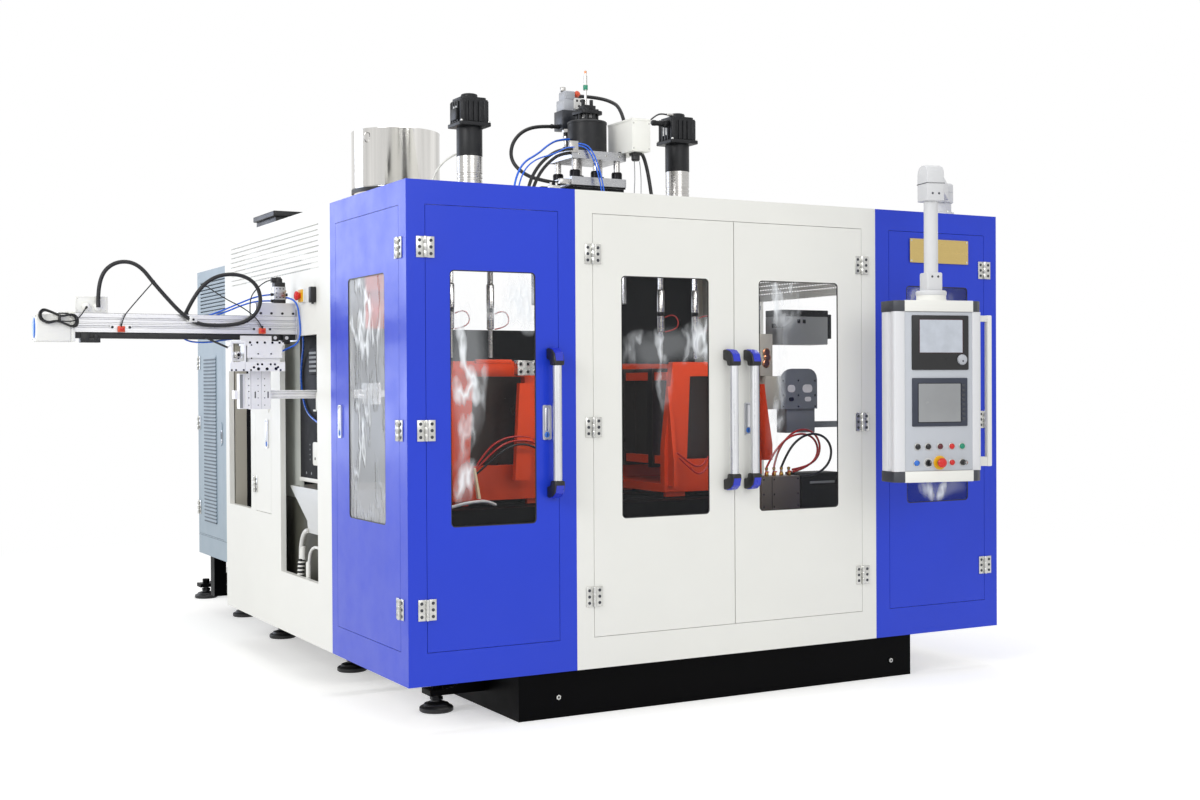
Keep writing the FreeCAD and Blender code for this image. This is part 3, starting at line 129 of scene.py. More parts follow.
def makeCoat(name, code, rough=0.42, mottle=0.05, grain=0.12, pitch=260.0, dust=0.0, coat=0.0, sheen=0.3):
    # powder or brushed-on paint: faint cloudiness, orange peel, a little dust
    tree, shader, spread = newFinish(name)
    colour = fromHex(code)
    cloud = addNoise(tree, spread, 1.6, 5.0)
    low = [c * (1 - mottle) for c in colour[:3]] + [1]
    high = [min(1, c * (1 + mottle)) for c in colour[:3]] + [1]
    base = blended(tree, ranged(tree, cloud, 0, 1), low, high)
    if dust:
        speck = addNoise(tree, spread, 34.0, 6.0, 0.7)
        base = blended(tree, ranged(tree, speck, 0, dust, 0.55, 0.8), base, fromHex("b9b6ad"))
    tree.links.new(base, shader.inputs["Base Color"])
    tree.links.new(ranged(tree, addNoise(tree, spread, 9.0), rough - 0.05, rough + 0.06),
        shader.inputs["Roughness"])
    shader.inputs["Specular IOR Level"].default_value = sheen
    shader.inputs["Coat Weight"].default_value = coat
    shader.inputs["Coat Roughness"].default_value = 0.12
    bumpFrom(tree, shader, addNoise(tree, spread, pitch, 2.0), grain, 0.0006)


def makeMetal(name, code, rough=0.3, draw=(1, 1, 1), lines=180.0, streakAndReflection=0.16, grain=0.1, metallic=1.0):
    # worked metal: fine lines drawn out along one axis, and patches of handling; where the lines are drawn
    # out into broad upright bands, as on the hopper steel, their darker bands are painted reflections
    tree, shader, spread = newFinish(name)
    spread.inputs["Scale"].default_value = draw
    colour = fromHex(code)
    shader.inputs["Metallic"].default_value = metallic
    fine = addNoise(tree, spread, lines, 3.0)
    wide = addNoise(tree, spread, 6.0, 3.0)
    low = [c * (1 - streakAndReflection) for c in colour[:3]] + [1]
    tone = blended(tree, ranged(tree, fine, 0, 1), low, colour)
    tree.links.new(blended(tree, ranged(tree, wide, 0, 0.35), tone, low), shader.inputs["Base Color"])
    tree.links.new(ranged(tree, wide, max(0.03, rough - 0.07), rough + 0.08), shader.inputs["Roughness"])
    bumpFrom(tree, shader, fine, grain, 0.0004)


def makePlastic(name, code, rough=0.35, grain=0.05):
    tree, shader, spread = newFinish(name)
    colour = fromHex(code)
    dark = [c * 0.86 for c in colour[:3]] + [1]
    tree.links.new(blended(tree, ranged(tree, addNoise(tree, spread, 22.0), 0, 1), dark, colour),
        shader.inputs["Base Color"])
    tree.links.new(ranged(tree, addNoise(tree, spread, 60.0), rough - 0.05, rough + 0.07),
        shader.inputs["Roughness"])
    bumpFrom(tree, shader, addNoise(tree, spread, 900.0, 2.0), grain, 0.0002)


def combined(tree, kind, first, second=0.0):
    node = tree.nodes.new("ShaderNodeMath")
    node.operation = kind
    for slot, given in zip(node.inputs, (first, second)):
        if isinstance(given, bpy.types.NodeSocket):
            tree.links.new(given, slot)
        else:
            slot.default_value = given
    return node.outputs[0]


def makeFilm(name, hazeAndGlare, veilsAndGlare, axis=0):
    # clear sheet whose protective film has come loose: each veil is across, level, half width, half height
    # and strength, in millimetres on the wall, with long wrinkles in it; the white haze and veils are
    # partly loose film and partly painted glare and highlights, and the whiter wrinkle crests are painted
    # crease highlights
    tree, shader, spread = newFinish(name)
    spread.inputs["Scale"].default_value = (3.0, 3.0, 1.2)
    shader.inputs["Base Color"].default_value = fromHex("eef2f6")
    shader.inputs["Roughness"].default_value = 0.22
    wrinkle = combined(tree, "ABSOLUTE", combined(tree, "SUBTRACT", addNoise(tree, spread, 2.6, 3.0), 0.5))
    # the film is whiter along the wrinkle crests: painted crease highlights
    crest = ranged(tree, wrinkle, 1, 0.22, 0, 0.075)
    shift = ranged(tree, addNoise(tree, spread, 1.3, 2.0), -0.06, 0.06)
    where = tree.nodes.new("ShaderNodeTexCoord")
    moved = tree.nodes.new("ShaderNodeVectorMath")
    tree.links.new(where.outputs["Object"], moved.inputs[0])
    tree.links.new(shift, moved.inputs[1])
    hidden = 0.0
    for across, level, halfWide, halfTall, strength in veilsAndGlare:
        oval = tree.nodes.new("ShaderNodeMapping")
        scale, place = [0, 0, 1 / (halfTall * mm)], [0, 0, -level / halfTall]
        scale[axis], place[axis] = 1 / (halfWide * mm), -across / halfWide
        oval.inputs["Scale"].default_value = scale
        oval.inputs["Location"].default_value = place
        tree.links.new(moved.outputs[0], oval.inputs["Vector"])
        reach = tree.nodes.new("ShaderNodeVectorMath")
        reach.operation = "LENGTH"
        tree.links.new(oval.outputs["Vector"], reach.inputs[0])
        hidden = combined(tree, "MAXIMUM", ranged(tree, reach.outputs["Value"], strength, 0, 0.35, 1.0),
            hidden)
    # white opacity of haze and veils: partly loose film, partly painted glare and highlights
    tree.links.new(combined(tree, "MAXIMUM", combined(tree, "MULTIPLY", hidden, crest), hazeAndGlare),
        shader.inputs["Alpha"])
    bumpFrom(tree, shader, crest, 0.5, 0.01)


makeCoat("bluePowder", "1e3dcb", 0.34, 0.04, 0.10, coat=0.12)
makeCoat("whitePowder", "ebebe6", 0.42, 0.02, 0.10)
makeCoat("greyPowder", "9cacb8", 0.45, 0.03, 0.10)
# dark grey: the latch lever and a thin line at the cabinet foot, and painted shadow under the louvre lips
# and behind the hood slots
makeCoat("darkGreyAndShadow", "55626d", 0.5, 0.05, 0.08)
makeCoat("blackPaint", "040405", 0.42, 0.10, 0.16, sheen=0.05)
makeCoat("darkLining", "121317", 0.6, 0.15, 0.1, dust=0.02, sheen=0.15)
makeCoat("orangeCast", "da400b", 0.36, 0.08, 0.35, pitch=90.0, coat=0.15)
makeCoat("beigeInside", "b5b1a5", 0.5, 0.05, 0.1)
makeMetal("satinAluminium", "dcdcdd", 0.34, (1, 14, 14), 60.0, 0.08, 0.06, 0.75)
makeMetal("uprightAluminium", "d9dadd", 0.30, (14, 14, 1), 60.0, 0.06, 0.05)
makeCoat("whiteAluminium", "dcdde0", 0.36, 0.02, 0.05)
makeMetal("millSteel", "b9babd", 0.30, (6, 6, 30), 40.0, 0.2, 0.12)
makeMetal("turnedSteel", "c6c4c1", 0.24, (1, 1, 24), 30.0, 0.22, 0.1)
makeMetal("zincPlate", "cfcfcb", 0.28, (1, 1, 1), 120.0, 0.18, 0.08)
# hopper steel: its broad upright darker bands are painted reflections of polished steel
makeMetal("hopperSteel", "f0eeea", 0.12, (3.2, 3.2, 0.08), 3.4, 0.42, 0.03)
makeMetal("brassPlate", "cfb677", 0.33, (1, 8, 8), 70.0, 0.12, 0.06)
makeMetal("brassTurned", "c9a050", 0.25, (1, 1, 1), 90.0, 0.2, 0.08)
makeMetal("blackedSteel", "2a2a2c", 0.34, (1, 1, 5), 60.0, 0.4, 0.2)
makePlastic("blackPlastic", "141416", 0.42, 0.12)
makePlastic("darkPlastic", "3a3d44", 0.42, 0.10)
makePlastic("greyPlastic", "b3b6bd", 0.40, 0.05)
makePlastic("whitePlastic", "e4e4e2", 0.38, 0.05)
makePlastic("bluePlastic", "2334c4", 0.30, 0.04)
makePlastic("redPlastic", "d3201c", 0.28, 0.03)
makePlastic("orangePlastic", "d9502a", 0.32, 0.04)
makePlastic("yellowPlastic", "e8b41c", 0.32, 0.04)
makePlastic("greenPlastic", "128a6a", 0.28, 0.03)
makePlastic("keyBluePlastic", "2c6fd0", 0.28, 0.03)
makePlastic("litRed", "5a0f1c", 0.2, 0.03)
makePlastic("screenGlass", "c3c9d3", 0.16, 0.02)
makeCoat("filmedScreen", "9a9c9e", 0.22, 0.16, 0.8, pitch=14.0)
makePlastic("blackGlass", "101216", 0.12, 0.01)
makePlastic("rubberHose", "111113", 0.46, 0.10)
makePlastic("blueHose", "1d63d8", 0.26, 0.02)
makePlastic("redHose", "b3201a", 0.30, 0.02)
makePlastic("whiteHose", "e2e2de", 0.30, 0.02)
makePlastic("greyCable", "7d7f82", 0.40, 0.05)
makeCoat("greyPanel", "bfc3ca", 0.42, 0.03, 0.06)
makePlastic("bezelBlue", "2c3242", 0.40, 0.08)
makeCoat("armPaint", "d6d7d9", 0.40, 0.02, 0.12)
makeCoat("darkPaint", "1a1b1e", 0.42, 0.12, 0.3, pitch=120.0, dust=0.04)
makeCoat("steelPaint", "8d9092", 0.5, 0.06, 0.1)
makePlastic("valveBlack", "23262e", 0.36, 0.05)
makeMetal("copper", "c98a66", 0.28, (1, 1, 1), 90.0, 0.2, 0.08)
makeMetal("castAluminium", "ececec", 0.38, (1, 1, 1), 140.0, 0.04, 0.08, 0.25)
makeMetal("sheetSteel", "c2c2be", 0.36, (1, 1, 6), 12.0, 0.06, 0.03, 0.8)
makeMetal("toolSteel", "57524e", 0.34, (1, 1, 1), 60.0, 0.2, 0.08)
makeCoat("manifoldBrown", "6d655c", 0.4, 0.08, 0.15)
makeCoat("paleLining", "bfc2bc", 0.5, 0.04, 0.1)
# darker copy of the pale lining: painted shade on the lower part of the plate in the left opening
makeCoat("paintedShadeOlive", "4b4b42", 0.55, 0.10, 0.1)
makeCoat("creamSheet", "f0dfb4", 0.35, 0.03, 0.1)
makeCoat("coverGrey", "70757c", 0.45, 0.05, 0.1)
# side pane: its heavy white haze and two broad veils paint the grey-white reflection over the pane, on top
# of its film
makeFilm("sideFilmAndReflection", 0.40, [(-950, 1560, 330, 260, 1.0), (-900, 1080, 260, 330, 0.85)], 1)
# left pane: the tall veil at the left is loose film that also paints a glare band, and the small veil low
# down paints a bright highlight
makeFilm("leftFilmAndGlare", 0.02, [(-1262, 1330, 85, 380, 1.0), (-1215, 965, 62, 80, 0.95),
    (-975, 1640, 130, 130, 0.9), (-1120, 1560, 200, 60, 0.5)])
# centre-left pane: the strong veil at its right is loose film that also paints bright highlights
makeFilm("centreLeftFilmAndGlare", 0.02, [(-180, 1450, 130, 120, 1.0), (-390, 1430, 220, 95, 0.75),
    (-385, 1270, 45, 110, 0.6)])
makeFilm("centreRightFilm", 0.02, [(215, 1670, 150, 150, 0.85), (250, 1290, 60, 360, 0.5)])
makeFilm("rightFilm", 0.03, [(1110, 815, 170, 60, 0.9), (1090, 1730, 170, 50, 0.7)])
print("finishes made,", len(finishes))


# cords and hoses: a route is in millimetres, from the fitting to the far end

def layCord(name, route, thick, look, body="machine", replaced=()):
    curve = bpy.data.curves.new(name, "CURVE")
    curve.dimensions = "3D"
    spline = curve.splines.new("NURBS")
    spline.points.add(len(route) - 1)
    for point, spot in zip(spline.points, route):
        point.co = [c * mm for c in spot] + [1]
    spline.order_u = 3
    spline.use_endpoint_u = True
    spline.resolution_u = 10
    laid = bpy.data.objects.new(name, curve)
    bpy.context.scene.collection.objects.link(laid)
    line = bpy.data.meshes.new_from_object(laid)
    spots = [v.co.copy() for v in line.vertices]
    bpy.data.meshes.remove(line)
    curve.bevel_depth = thick / 2 * mm
    curve.bevel_resolution = 4
    curve.use_fill_caps = True
    curve.materials.append(finishes[look])
    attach(laid, body)
    if replaced:
        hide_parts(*replaced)
    return spots


robotCable = [(-2330.8, -111, 1679.3), (-2330.8, -113, 1775), (-2268, -120, 1848), (-2172, -128, 1846),
    (-2090, -126, 1740), (-1950, -120, 1592), (-1820, -118, 1582), (-1700, -122, 1600), (-1640, -128, 1676),
    (-1660, -132, 1768), (-1740, -134, 1812), (-1846, -132, 1800), (-1925, -118, 1730),
    (-1962, -84, 1635.5)]
headLoop = [(-77, 50, 2606), (-180, 46, 2604), (-282, 36, 2572), (-352, 20, 2500), (-372, -10, 2410),
    (-318, -50, 2340), (-232, -84, 2312), (-152, -92, 2304)]
headArc = [(8.5, 60, 2770), (98, 40, 2770), (172, -20, 2748), (198, -95, 2700), (198, -130, 2616)]
airLine = [(-98.5, -105, 2520), (-165, -120, 2512), (-240, -160, 2478), (-320, -200, 2420),
    (-412, -232, 2372), (-470, -268, 2290), (-496, -290, 2190), (-500, -296, 2088)]

cableLine = layCord("robotCable", robotCable, 17, "rubberHose", replaced=["hoses_and_cables"])
layCord("headLoop", headLoop, 18, "rubberHose")
layCord("headArc", headArc, 18, "rubberHose")
layCord("blueAirLine", airLine, 10, "blueHose")


def onCable(x, y, z):
    # the point of the robot cable nearest to a spot
    spot = Vector((x, y, z)) * mm
    return tuple(min(cableLine, key=lambda p: (p - spot).length) / mm)


# lighter lines that the solids leave out
thinLines = {
    "blackHoseFront": (16, "rubberHose", [(-150, -232, 2452), (-214, -238, 2446), (-286, -244, 2408),
        (-346, -250, 2352), (-392, -256, 2276), (-414, -262, 2180), (-420, -266, 2088)]),
    "blackHoseRear": (16, "rubberHose", [(-150, -214, 2436), (-206, -218, 2428), (-268, -222, 2386),
        (-322, -226, 2328), (-362, -230, 2252), (-380, -234, 2166), (-384, -236, 2088)]),
    "blueLineLeft": (7, "blueHose", [(-126, -231, 2462), (-176, -238, 2462), (-262, -250, 2416),
        (-352, -258, 2390), (-420, -264, 2338), (-458, -270, 2250), (-468, -276, 2160),
        (-470, -280, 2088)]),
    "blueLineFront": (7, "blueHose", [(-128, -231, 2470), (-84, -240, 2472), (-50, -252, 2420),
        (-26, -262, 2340), (-8, -272, 2240), (-2, -278, 2103)]),
    "blueLineFrontTwin": (7, "blueHose", [(-128, -231, 2480), (-78, -244, 2484), (-40, -258, 2424),
        (-16, -268, 2342), (2, -278, 2240), (8, -284, 2103)]),
    "greyWireLeft": (4, "greyCable", [(176, -262, 2412), (178, -266, 2350), (170, -272, 2262),
        (162, -276, 2180), (160, -278, 2103)]),
    "greyWireRight": (4, "greyCable", [(206, -262, 2412), (212, -266, 2350), (208, -272, 2262),
        (204, -276, 2180), (202, -278, 2103)]),
    "signalCable": (18, "rubberHose", [(234, -190, 2480), (262, -190, 2470), (284, -194, 2410),
        (300, -200, 2320), (312, -206, 2220), (316, -210, 2088)]),
    "rightUnitCable": (8, "rubberHose", [(500, -40, 2700), (452, -58, 2700), (398, -88, 2676),
        (330, -120, 2628), (234, -150, 2590)]),
    "paleHose": (10, "whiteHose", [(-524, 20, 2476), (-600, 140, 2452), (-668, 190, 2390),
        (-704, 200, 2300), (-716, 204, 2190), (-718, 206, 2088)]),
    "leftSensorLead": (5, "rubberHose", [(-2238, -112, 1574), (-2232, -114, 1612), (-2196, -116, 1660),
        onCable(-2128, -126, 1750)]),
    "rightSensorLead": (5, "rubberHose", [(-1634, -112, 1574), (-1652, -116, 1614), (-1728, -126, 1668),
        (-1804, -130, 1700), onCable(-1890, -128, 1760)]),
    "valveLead": (5, "rubberHose", [(-1566, -70, 1796), (-1600, -72, 1790), (-1650, -74, 1752),
        (-1682, -74, 1700), (-1676, -72, 1632)]),
    "blueFeedUpper": (7, "blueHose", [(-1573, -60, 1728), (-1630, -60, 1724), (-1716, -50, 1688),
        (-1796, -40, 1652), (-1852, -30, 1631)]),
    "blueFeedLower": (7, "blueHose", [(-1573, -60, 1700), (-1636, -60, 1700), (-1704, -50, 1680),
        (-1772, -40, 1650), (-1820, -30, 1631)]),
    "blueDrop": (8, "blueHose", [(-1521, -72, 1716), (-1496, -100, 1712), (-1476, -122, 1680),
        (-1470, -126, 1620), (-1466, -128, 1556), (-1480, -128, 1506), (-1536, -128, 1484),
        (-1560, -128, 1470)]),
}
for name, (thick, look, route) in thinLines.items():
    layCord(name, route, thick, look)
print("cords laid")


# modelling helpers

def gridOf(columns, rows):
    return [(a, b) for a in columns for b in rows]


def roundOff(part, edges, width, cuts=2):
    bmesh.ops.bevel(part, geom=list(edges), offset=width, offset_type="OFFSET", segments=cuts, profile=0.5,
        affect="EDGES", material=-1)


def runsAlong(edge, axis):
    lengths = [abs(a - b) for a, b in zip(edge.verts[0].co, edge.verts[1].co)]
    return lengths["xyz".index(axis)] > 0.999 * sum(lengths)


def boxPart(low, high, edge=0, cuts=2, corner=0, along="y"):
    part = bmesh.new()
    bmesh.ops.create_cube(part, size=1)
    bmesh.ops.scale(part, vec=[b - a for a, b in zip(low, high)], verts=part.verts)
    bmesh.ops.translate(part, vec=[(a + b) / 2 for a, b in zip(low, high)], verts=part.verts)
    if corner:
        roundOff(part, [e for e in part.edges if runsAlong(e, along)], corner, 5)
    if edge:
        sharp = [e for e in part.edges if len(e.link_faces) == 2 and e.calc_face_angle() > 0.6]
        roundOff(part, sharp, edge, cuts)
    return part


def aim(start, along):
    return Matrix.Translation(start) @ Vector(along).to_track_quat("Z", "Y").to_matrix().to_4x4()


def barPart(start, end, radius, sides=24, edge=0):
    start, end = Vector(start), Vector(end)
    part = bmesh.new()
    bmesh.ops.create_cone(part, cap_ends=True, segments=sides, radius1=radius, radius2=radius,
        depth=(end - start).length)
    if edge:
        roundOff(part, [e for e in part.edges if abs(e.verts[0].co.z - e.verts[1].co.z) < 0.001], edge)
    bmesh.ops.transform(part, matrix=aim((start + end) / 2, end - start), verts=part.verts)
    return part


def turnedPart(profile, foot=(0, 0, 0), along=upward, steps=32):
    part = bmesh.new()
    points = [part.verts.new((radius, 0, height)) for radius, height in profile]
    edges = [part.edges.new(pair) for pair in zip(points, points[1:])]
    bmesh.ops.spin(part, geom=points + edges, cent=(0, 0, 0), axis=upward, angle=2 * math.pi, steps=steps,
        use_merge=True)
    bmesh.ops.remove_doubles(part, verts=part.verts, dist=0.01)
    bmesh.ops.recalc_face_normals(part, faces=part.faces)
    bmesh.ops.transform(part, matrix=aim(foot, along), verts=part.verts)
    return part


def grownPart(corners, shift):
    # a flat outline drawn out into a plate
    part = bmesh.new()
    face = part.faces.new([part.verts.new(corner) for corner in corners])
    grown = bmesh.ops.extrude_face_region(part, geom=[face])
    bmesh.ops.translate(part, vec=shift, verts=[g for g in grown["geom"]
        if isinstance(g, bmesh.types.BMVert)])
    bmesh.ops.recalc_face_normals(part, faces=part.faces)
    return part


def cutPart(outline, depth):
    # outline is (x, z) seen from the front; the plate grows back by depth
    return grownPart([(x, 0, z) for x, z in outline], (0, depth, 0))


def framePart(low, high, band, corner=0):
    # flat frame round a window: a rounded box whose front and back are inset, opened and bridged
    part = boxPart(low, high, corner=corner)
    middle = (low[1] + high[1]) / 2
    rims = []
    for side in (-1, 1):
        flat = [f for f in part.faces
            if abs(f.normal.y) > 0.9 and side * (f.calc_center_median().y - middle) > 0]
        bmesh.ops.inset_region(part, faces=flat, thickness=band)
        rims += [e for e in flat[0].edges]
        bmesh.ops.delete(part, geom=flat, context="FACES_ONLY")
    bmesh.ops.bridge_loops(part, edges=rims)
    bmesh.ops.recalc_face_normals(part, faces=part.faces)
    return part


def setAt(part, place):
    # a mirrored place turns the faces inside out, so they are turned again
    bmesh.ops.transform(part, matrix=place, verts=part.verts)
    if place.determinant() < 0:
        bmesh.ops.reverse_faces(part, faces=part.faces)


def land(piece, part, look=0, place=None):
    # puts one solid into a piece; its look counts into the piece's list of looks
    for face in part.faces:
        face.material_index = look
    if place is not None:
        setAt(part, place)
    held = bpy.data.meshes.new("held")
    part.to_mesh(held)
    part.free()
    piece.from_mesh(held)
    bpy.data.meshes.remove(held)


def addBox(piece, look, low, high, edge=0, cuts=2, corner=0, along="y", place=None):
    land(piece, boxPart(low, high, edge, cuts, corner, along), look, place)


def addBar(piece, look, start, end, radius, sides=24, edge=0, place=None):
    land(piece, barPart(start, end, radius, sides, edge), look, place)


def addTurned(piece, look, profile, foot=(0, 0, 0), along=upward, steps=32, place=None):
    land(piece, turnedPart(profile, foot, along, steps), look, place)


def finishPiece(name, piece, body, looks, replaced=(), smooth=32, place=None):
    if place is not None:
        setAt(piece, place)
    bmesh.ops.scale(piece, vec=(mm, mm, mm), verts=piece.verts)
    mesh = bpy.data.meshes.new(name)
    piece.to_mesh(mesh)
    piece.free()
    for look in looks:
        mesh.materials.append(finishes[look])
    mesh.shade_smooth()
    mesh.set_sharp_from_angle(angle=math.radians(smooth))
    made = bpy.data.objects.new(name, mesh)
    bpy.context.scene.collection.objects.link(made)
    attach(made, body)
    if replaced:
        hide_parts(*replaced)
    return made


def put(x=0.0, y=0.0, z=0.0, degrees=0.0):
    return Matrix.Translation((x, y, z)) @ Matrix.Rotation(math.radians(degrees), 4, "Z")


# a drawing made for the front is laid on the left wall: its x runs to the back, its y into the machine
onLeft = Matrix(((0, 1, 0, leftWall), (1, 0, 0, 0), (0, 0, 1, 0), (0, 0, 0, 1)))
onFront = put(0, front, 0)


def screwInto(piece, spot, normal, radius, height, metal, dark, sides=12):
    # cap screw with its socket
    spot, normal = Vector(spot), Vector(normal).normalized()
    addBar(piece, metal, spot - normal * 0.5, spot + normal * height, radius, sides, edge=radius * 0.12)
    addBar(piece, dark, spot + normal * (height - 0.2), spot + normal * (height + 0.25), radius * 0.5, 6)


# CAD nodes keep their shapes and get their finishes

cadLooks = {
    "bluePowder": ["left_housing", "right_housing", "front_left_door", "front_right_door", "side_door"],
    "whitePowder": ["centre_front", "left_side_panel", "right_side_panel", "roof_panel", "centre_left_door",
        "centre_right_door", "side_hatch"],
    "greyPowder": ["electrical_cabinet", "cabinet_door"],
    "beigeInside": ["inner_frame"],
    "blackPaint": ["base_frame", "extruder_base", "outriggers", "barrel_cover"],
    "darkLining": ["rear_guard"],
    "orangeCast": ["left_clamp_frame", "right_clamp_frame", "extruder_drive"],
    "toolSteel": ["left_front_mould", "left_rear_mould", "right_front_mould", "right_rear_mould"],
    "millSteel": ["extrusion_head", "extruder_screw", "extruder_barrel"],
    "turnedSteel": ["left_blow_pins", "right_blow_pins"],
    "satinAluminium": ["robot_beam"],
    "castAluminium": ["robot_carriage", "robot_lift"],
    "sheetSteel": ["discharge_chute"],
}
for look, names in cadLooks.items():
    for name in names:
        nodes[name].data.materials.clear()
        nodes[name].data.materials.append(finishes[look])


def softenEdges(names, width):
    for name in names:
        seam = nodes[name].modifiers.new("closedSeams", "WELD")
        seam.merge_threshold = 0.00002
        edge = nodes[name].modifiers.new("softEdges", "BEVEL")
        edge.width = width * mm
        edge.segments = 2
        edge.limit_method = "ANGLE"
        edge.angle_limit = math.radians(40)


softenEdges(["left_clamp_frame", "right_clamp_frame", "extruder_drive"], 3.0)
softenEdges(["left_front_mould", "left_rear_mould", "right_front_mould", "right_rear_mould"], 1.2)
softenEdges(["robot_carriage", "robot_lift", "extrusion_head"], 1.0)
print("CAD nodes finished")


# feet

foot = {"pad": 69.0, "frontX": 1180.0, "frontRows": (-975.0, 32.0, 1109.0), "rearX": 1144.0,
    "rearRows": (1955.0, 2837.0), "screwTop": 69.7}


def makeFeet():
    piece = bmesh.new()
    pad = foot["pad"]
    profile = [(0, 0), (pad - 5, 0), (pad, 4), (pad, 17), (pad - 5, 22), (pad - 14, 25), (pad - 20, 33),
        (34, 38), (24, 41), (22, 46), (22, 58), (17, 60), (17, foot["screwTop"]), (0, foot["screwTop"])]
    spots = [(side * foot["frontX"], y) for side in (-1, 1) for y in foot["frontRows"]]
    spots += [(side * foot["rearX"], y) for side in (-1, 1) for y in foot["rearRows"]]
    for x, y in spots:
        addTurned(piece, 0, profile, (x, y, 0), steps=40)
        addBar(piece, 1, (x, y, 46), (x, y, 60), 27, 6, edge=1.5)
    finishPiece("levellingFeet", piece, "machine", ["blackPlastic", "blackedSteel"],
        ["levelling_feet"])


makeFeet()


# hinges: a fixed leaf with its knuckles, and a moving leaf over the one on the door

hinge = {"height": 80.0, "leafStart": 1.6, "leafEnd": 37.0, "leafThick": 4.6, "pin": 7.2,
    "screwRows": (-25.0, 0.0, 25.0), "screwAcross": 23.0, "screw": 6.4}
frontLevels = (477.0, 1150.0, 1838.0)
# body of the moving leaf, seam across the wall, +1 if the door lies toward +x of the drawing, levels, wall
hinges = [
    ("front_left_door_body", -1387.0, 1, frontLevels, onFront),
    ("front_right_door_body", 1387.0, -1, frontLevels, onFront),
    ("centre_left_door_body", -673.5, 1, frontLevels, onFront),
    ("centre_right_door_body", 673.5, -1, frontLevels, onFront),
    ("side_door_body", -1312.5, 1, frontLevels, onLeft),
    ("side_hatch_body", 606.3, -1, (846.0, 1415.0), onLeft),
    ("cabinet_door_body", 2297.0, -1, (614.0, 1110.0, 1462.0), Matrix.Translation((150.0, 0, 0)) @ onLeft),
]


def leafOn(piece, seam, side, level, wall):
    low, high = sorted((side * hinge["leafStart"], side * hinge["leafEnd"]))
    half = hinge["height"] / 2
    shift = Matrix.Translation((seam, 0, level))
    plate = boxPart((low, -hinge["leafThick"], -half), (high, -0.05, half), edge=1.2)
    land(piece, plate, 0, wall @ shift)
    for row in hinge["screwRows"]:
        across = side * hinge["screwAcross"]
        head = turnedPart([(0, 1.2), (2.6, 1.2), (3.0, 0.2), (5.0, 0.2), (5.4, 1.0), (hinge["screw"], 0.8),
            (hinge["screw"], -0.4)], (across, -hinge["leafThick"], row), toFront, 14)
        land(piece, head, 1, wall @ shift)


def makeHinges():
    fixed = bmesh.new()
    for body, seam, side, levels, wall in hinges:
        moving = bmesh.new()
        for level in levels:
            leafOn(fixed, seam, -side, level, wall)
            leafOn(moving, seam, side, level, wall)
            third = hinge["height"] / 3
            for turn in range(3):
                bottom = level - hinge["height"] / 2 + turn * third
                knuckle = barPart((seam, -hinge["pin"], bottom + 0.3),
                    (seam, -hinge["pin"], bottom + third - 0.3), hinge["pin"] - 0.2, 16, edge=0.6)
                land(fixed, knuckle, 0, wall)
        finishPiece("hingeLeaf." + body.replace("_body", ""), moving, body, ["zincPlate", "darkPlastic"])
    finishPiece("hingeFixedLeaves", fixed, "machine", ["zincPlate", "darkPlastic"],
        ["hinge_leaves"])


makeHinges()


# pull handles and flush locks

handle = {"low": 879.0, "high": 1463.0, "stand": 52.0, "tube": 18.0, "half": 22.0}


def makeHandle(name, x, body, node):
    piece = bmesh.new()
    stand, half = handle["stand"], handle["half"]
    addBar(piece, 0, (x, front - stand, handle["low"] + 40), (x, front - stand, handle["high"] - 40),
        handle["tube"], 32)
    for base, up in ((handle["low"], 1), (handle["high"], -1)):
        # foot on the door, curved shoulder, neck that grips the tube
        ring = [(0, 0), (0, 44), (-18, 46), (-27, 52), (-30, 68), (-74, 68), (-75, 48), (-66, 22), (-44, 6),
            (-16, 0)]
        shoulder = cutPart(ring if up > 0 else [(y, -z) for y, z in ring][::-1], half * 2)
        sides = [e for e in shoulder.edges if e.calc_face_angle() > 1.2]
        roundOff(shoulder, sides, 6.0, 3)
        land(piece, shoulder, 1, Matrix(((0, 1, 0, x - half), (1, 0, 0, front - 0.2), (0, 0, 1, base),
            (0, 0, 0, 1))))
        inlay = [(-20, 1.5), (-44, 7.5), (-65, 23), (-73.5, 48), (-76, 50), (-70, 20), (-47, 3),
            (-20, -1.5)]
        strip = cutPart(inlay if up > 0 else [(y, -z) for y, z in inlay][::-1], half * 1.5)
        land(piece, strip, 2, Matrix(((0, 1, 0, x - half * 0.75), (1, 0, 0, front), (0, 0, 1, base),
            (0, 0, 0, 1))))
        collar = turnedPart([(handle["tube"] + 0.4, 0), (21.5, 0), (22.5, 6), (22.5, 22),
            (handle["tube"] + 0.4, 22)], (x, front - stand, base + up * 46), (0, 0, up), 32)
        land(piece, collar, 1)
    finishPiece(name, piece, body, ["uprightAluminium", "blackPlastic", "bluePlastic"],
        [node])


def makeLock(name, across, level, wall, body):
    piece = bmesh.new()
    land(piece, framePart((-19, -7.2, -68), (19, -0.05, 68), 4.5, corner=7), 0)
    addBox(piece, 1, (-15, -6.2, -64), (15, -0.05, 64), corner=5)
    addBox(piece, 0, (-10, -8.2, -34), (10, -6.0, 58), edge=0.9, corner=8)
    addTurned(piece, 2, [(0, 2.6), (8.5, 2.6), (10.5, 1.4), (11.5, 0), (11.5, -1)], (0, -6.2, -48), toFront,
        28)
    addBox(piece, 3, (-1.2, -9.2, -55), (1.2, -8.6, -41))
    finishPiece(name, piece, body, ["uprightAluminium", "greyPlastic", "keyBluePlastic", "blackPlastic"],
        place=wall @ Matrix.Translation((across, 0, level)))


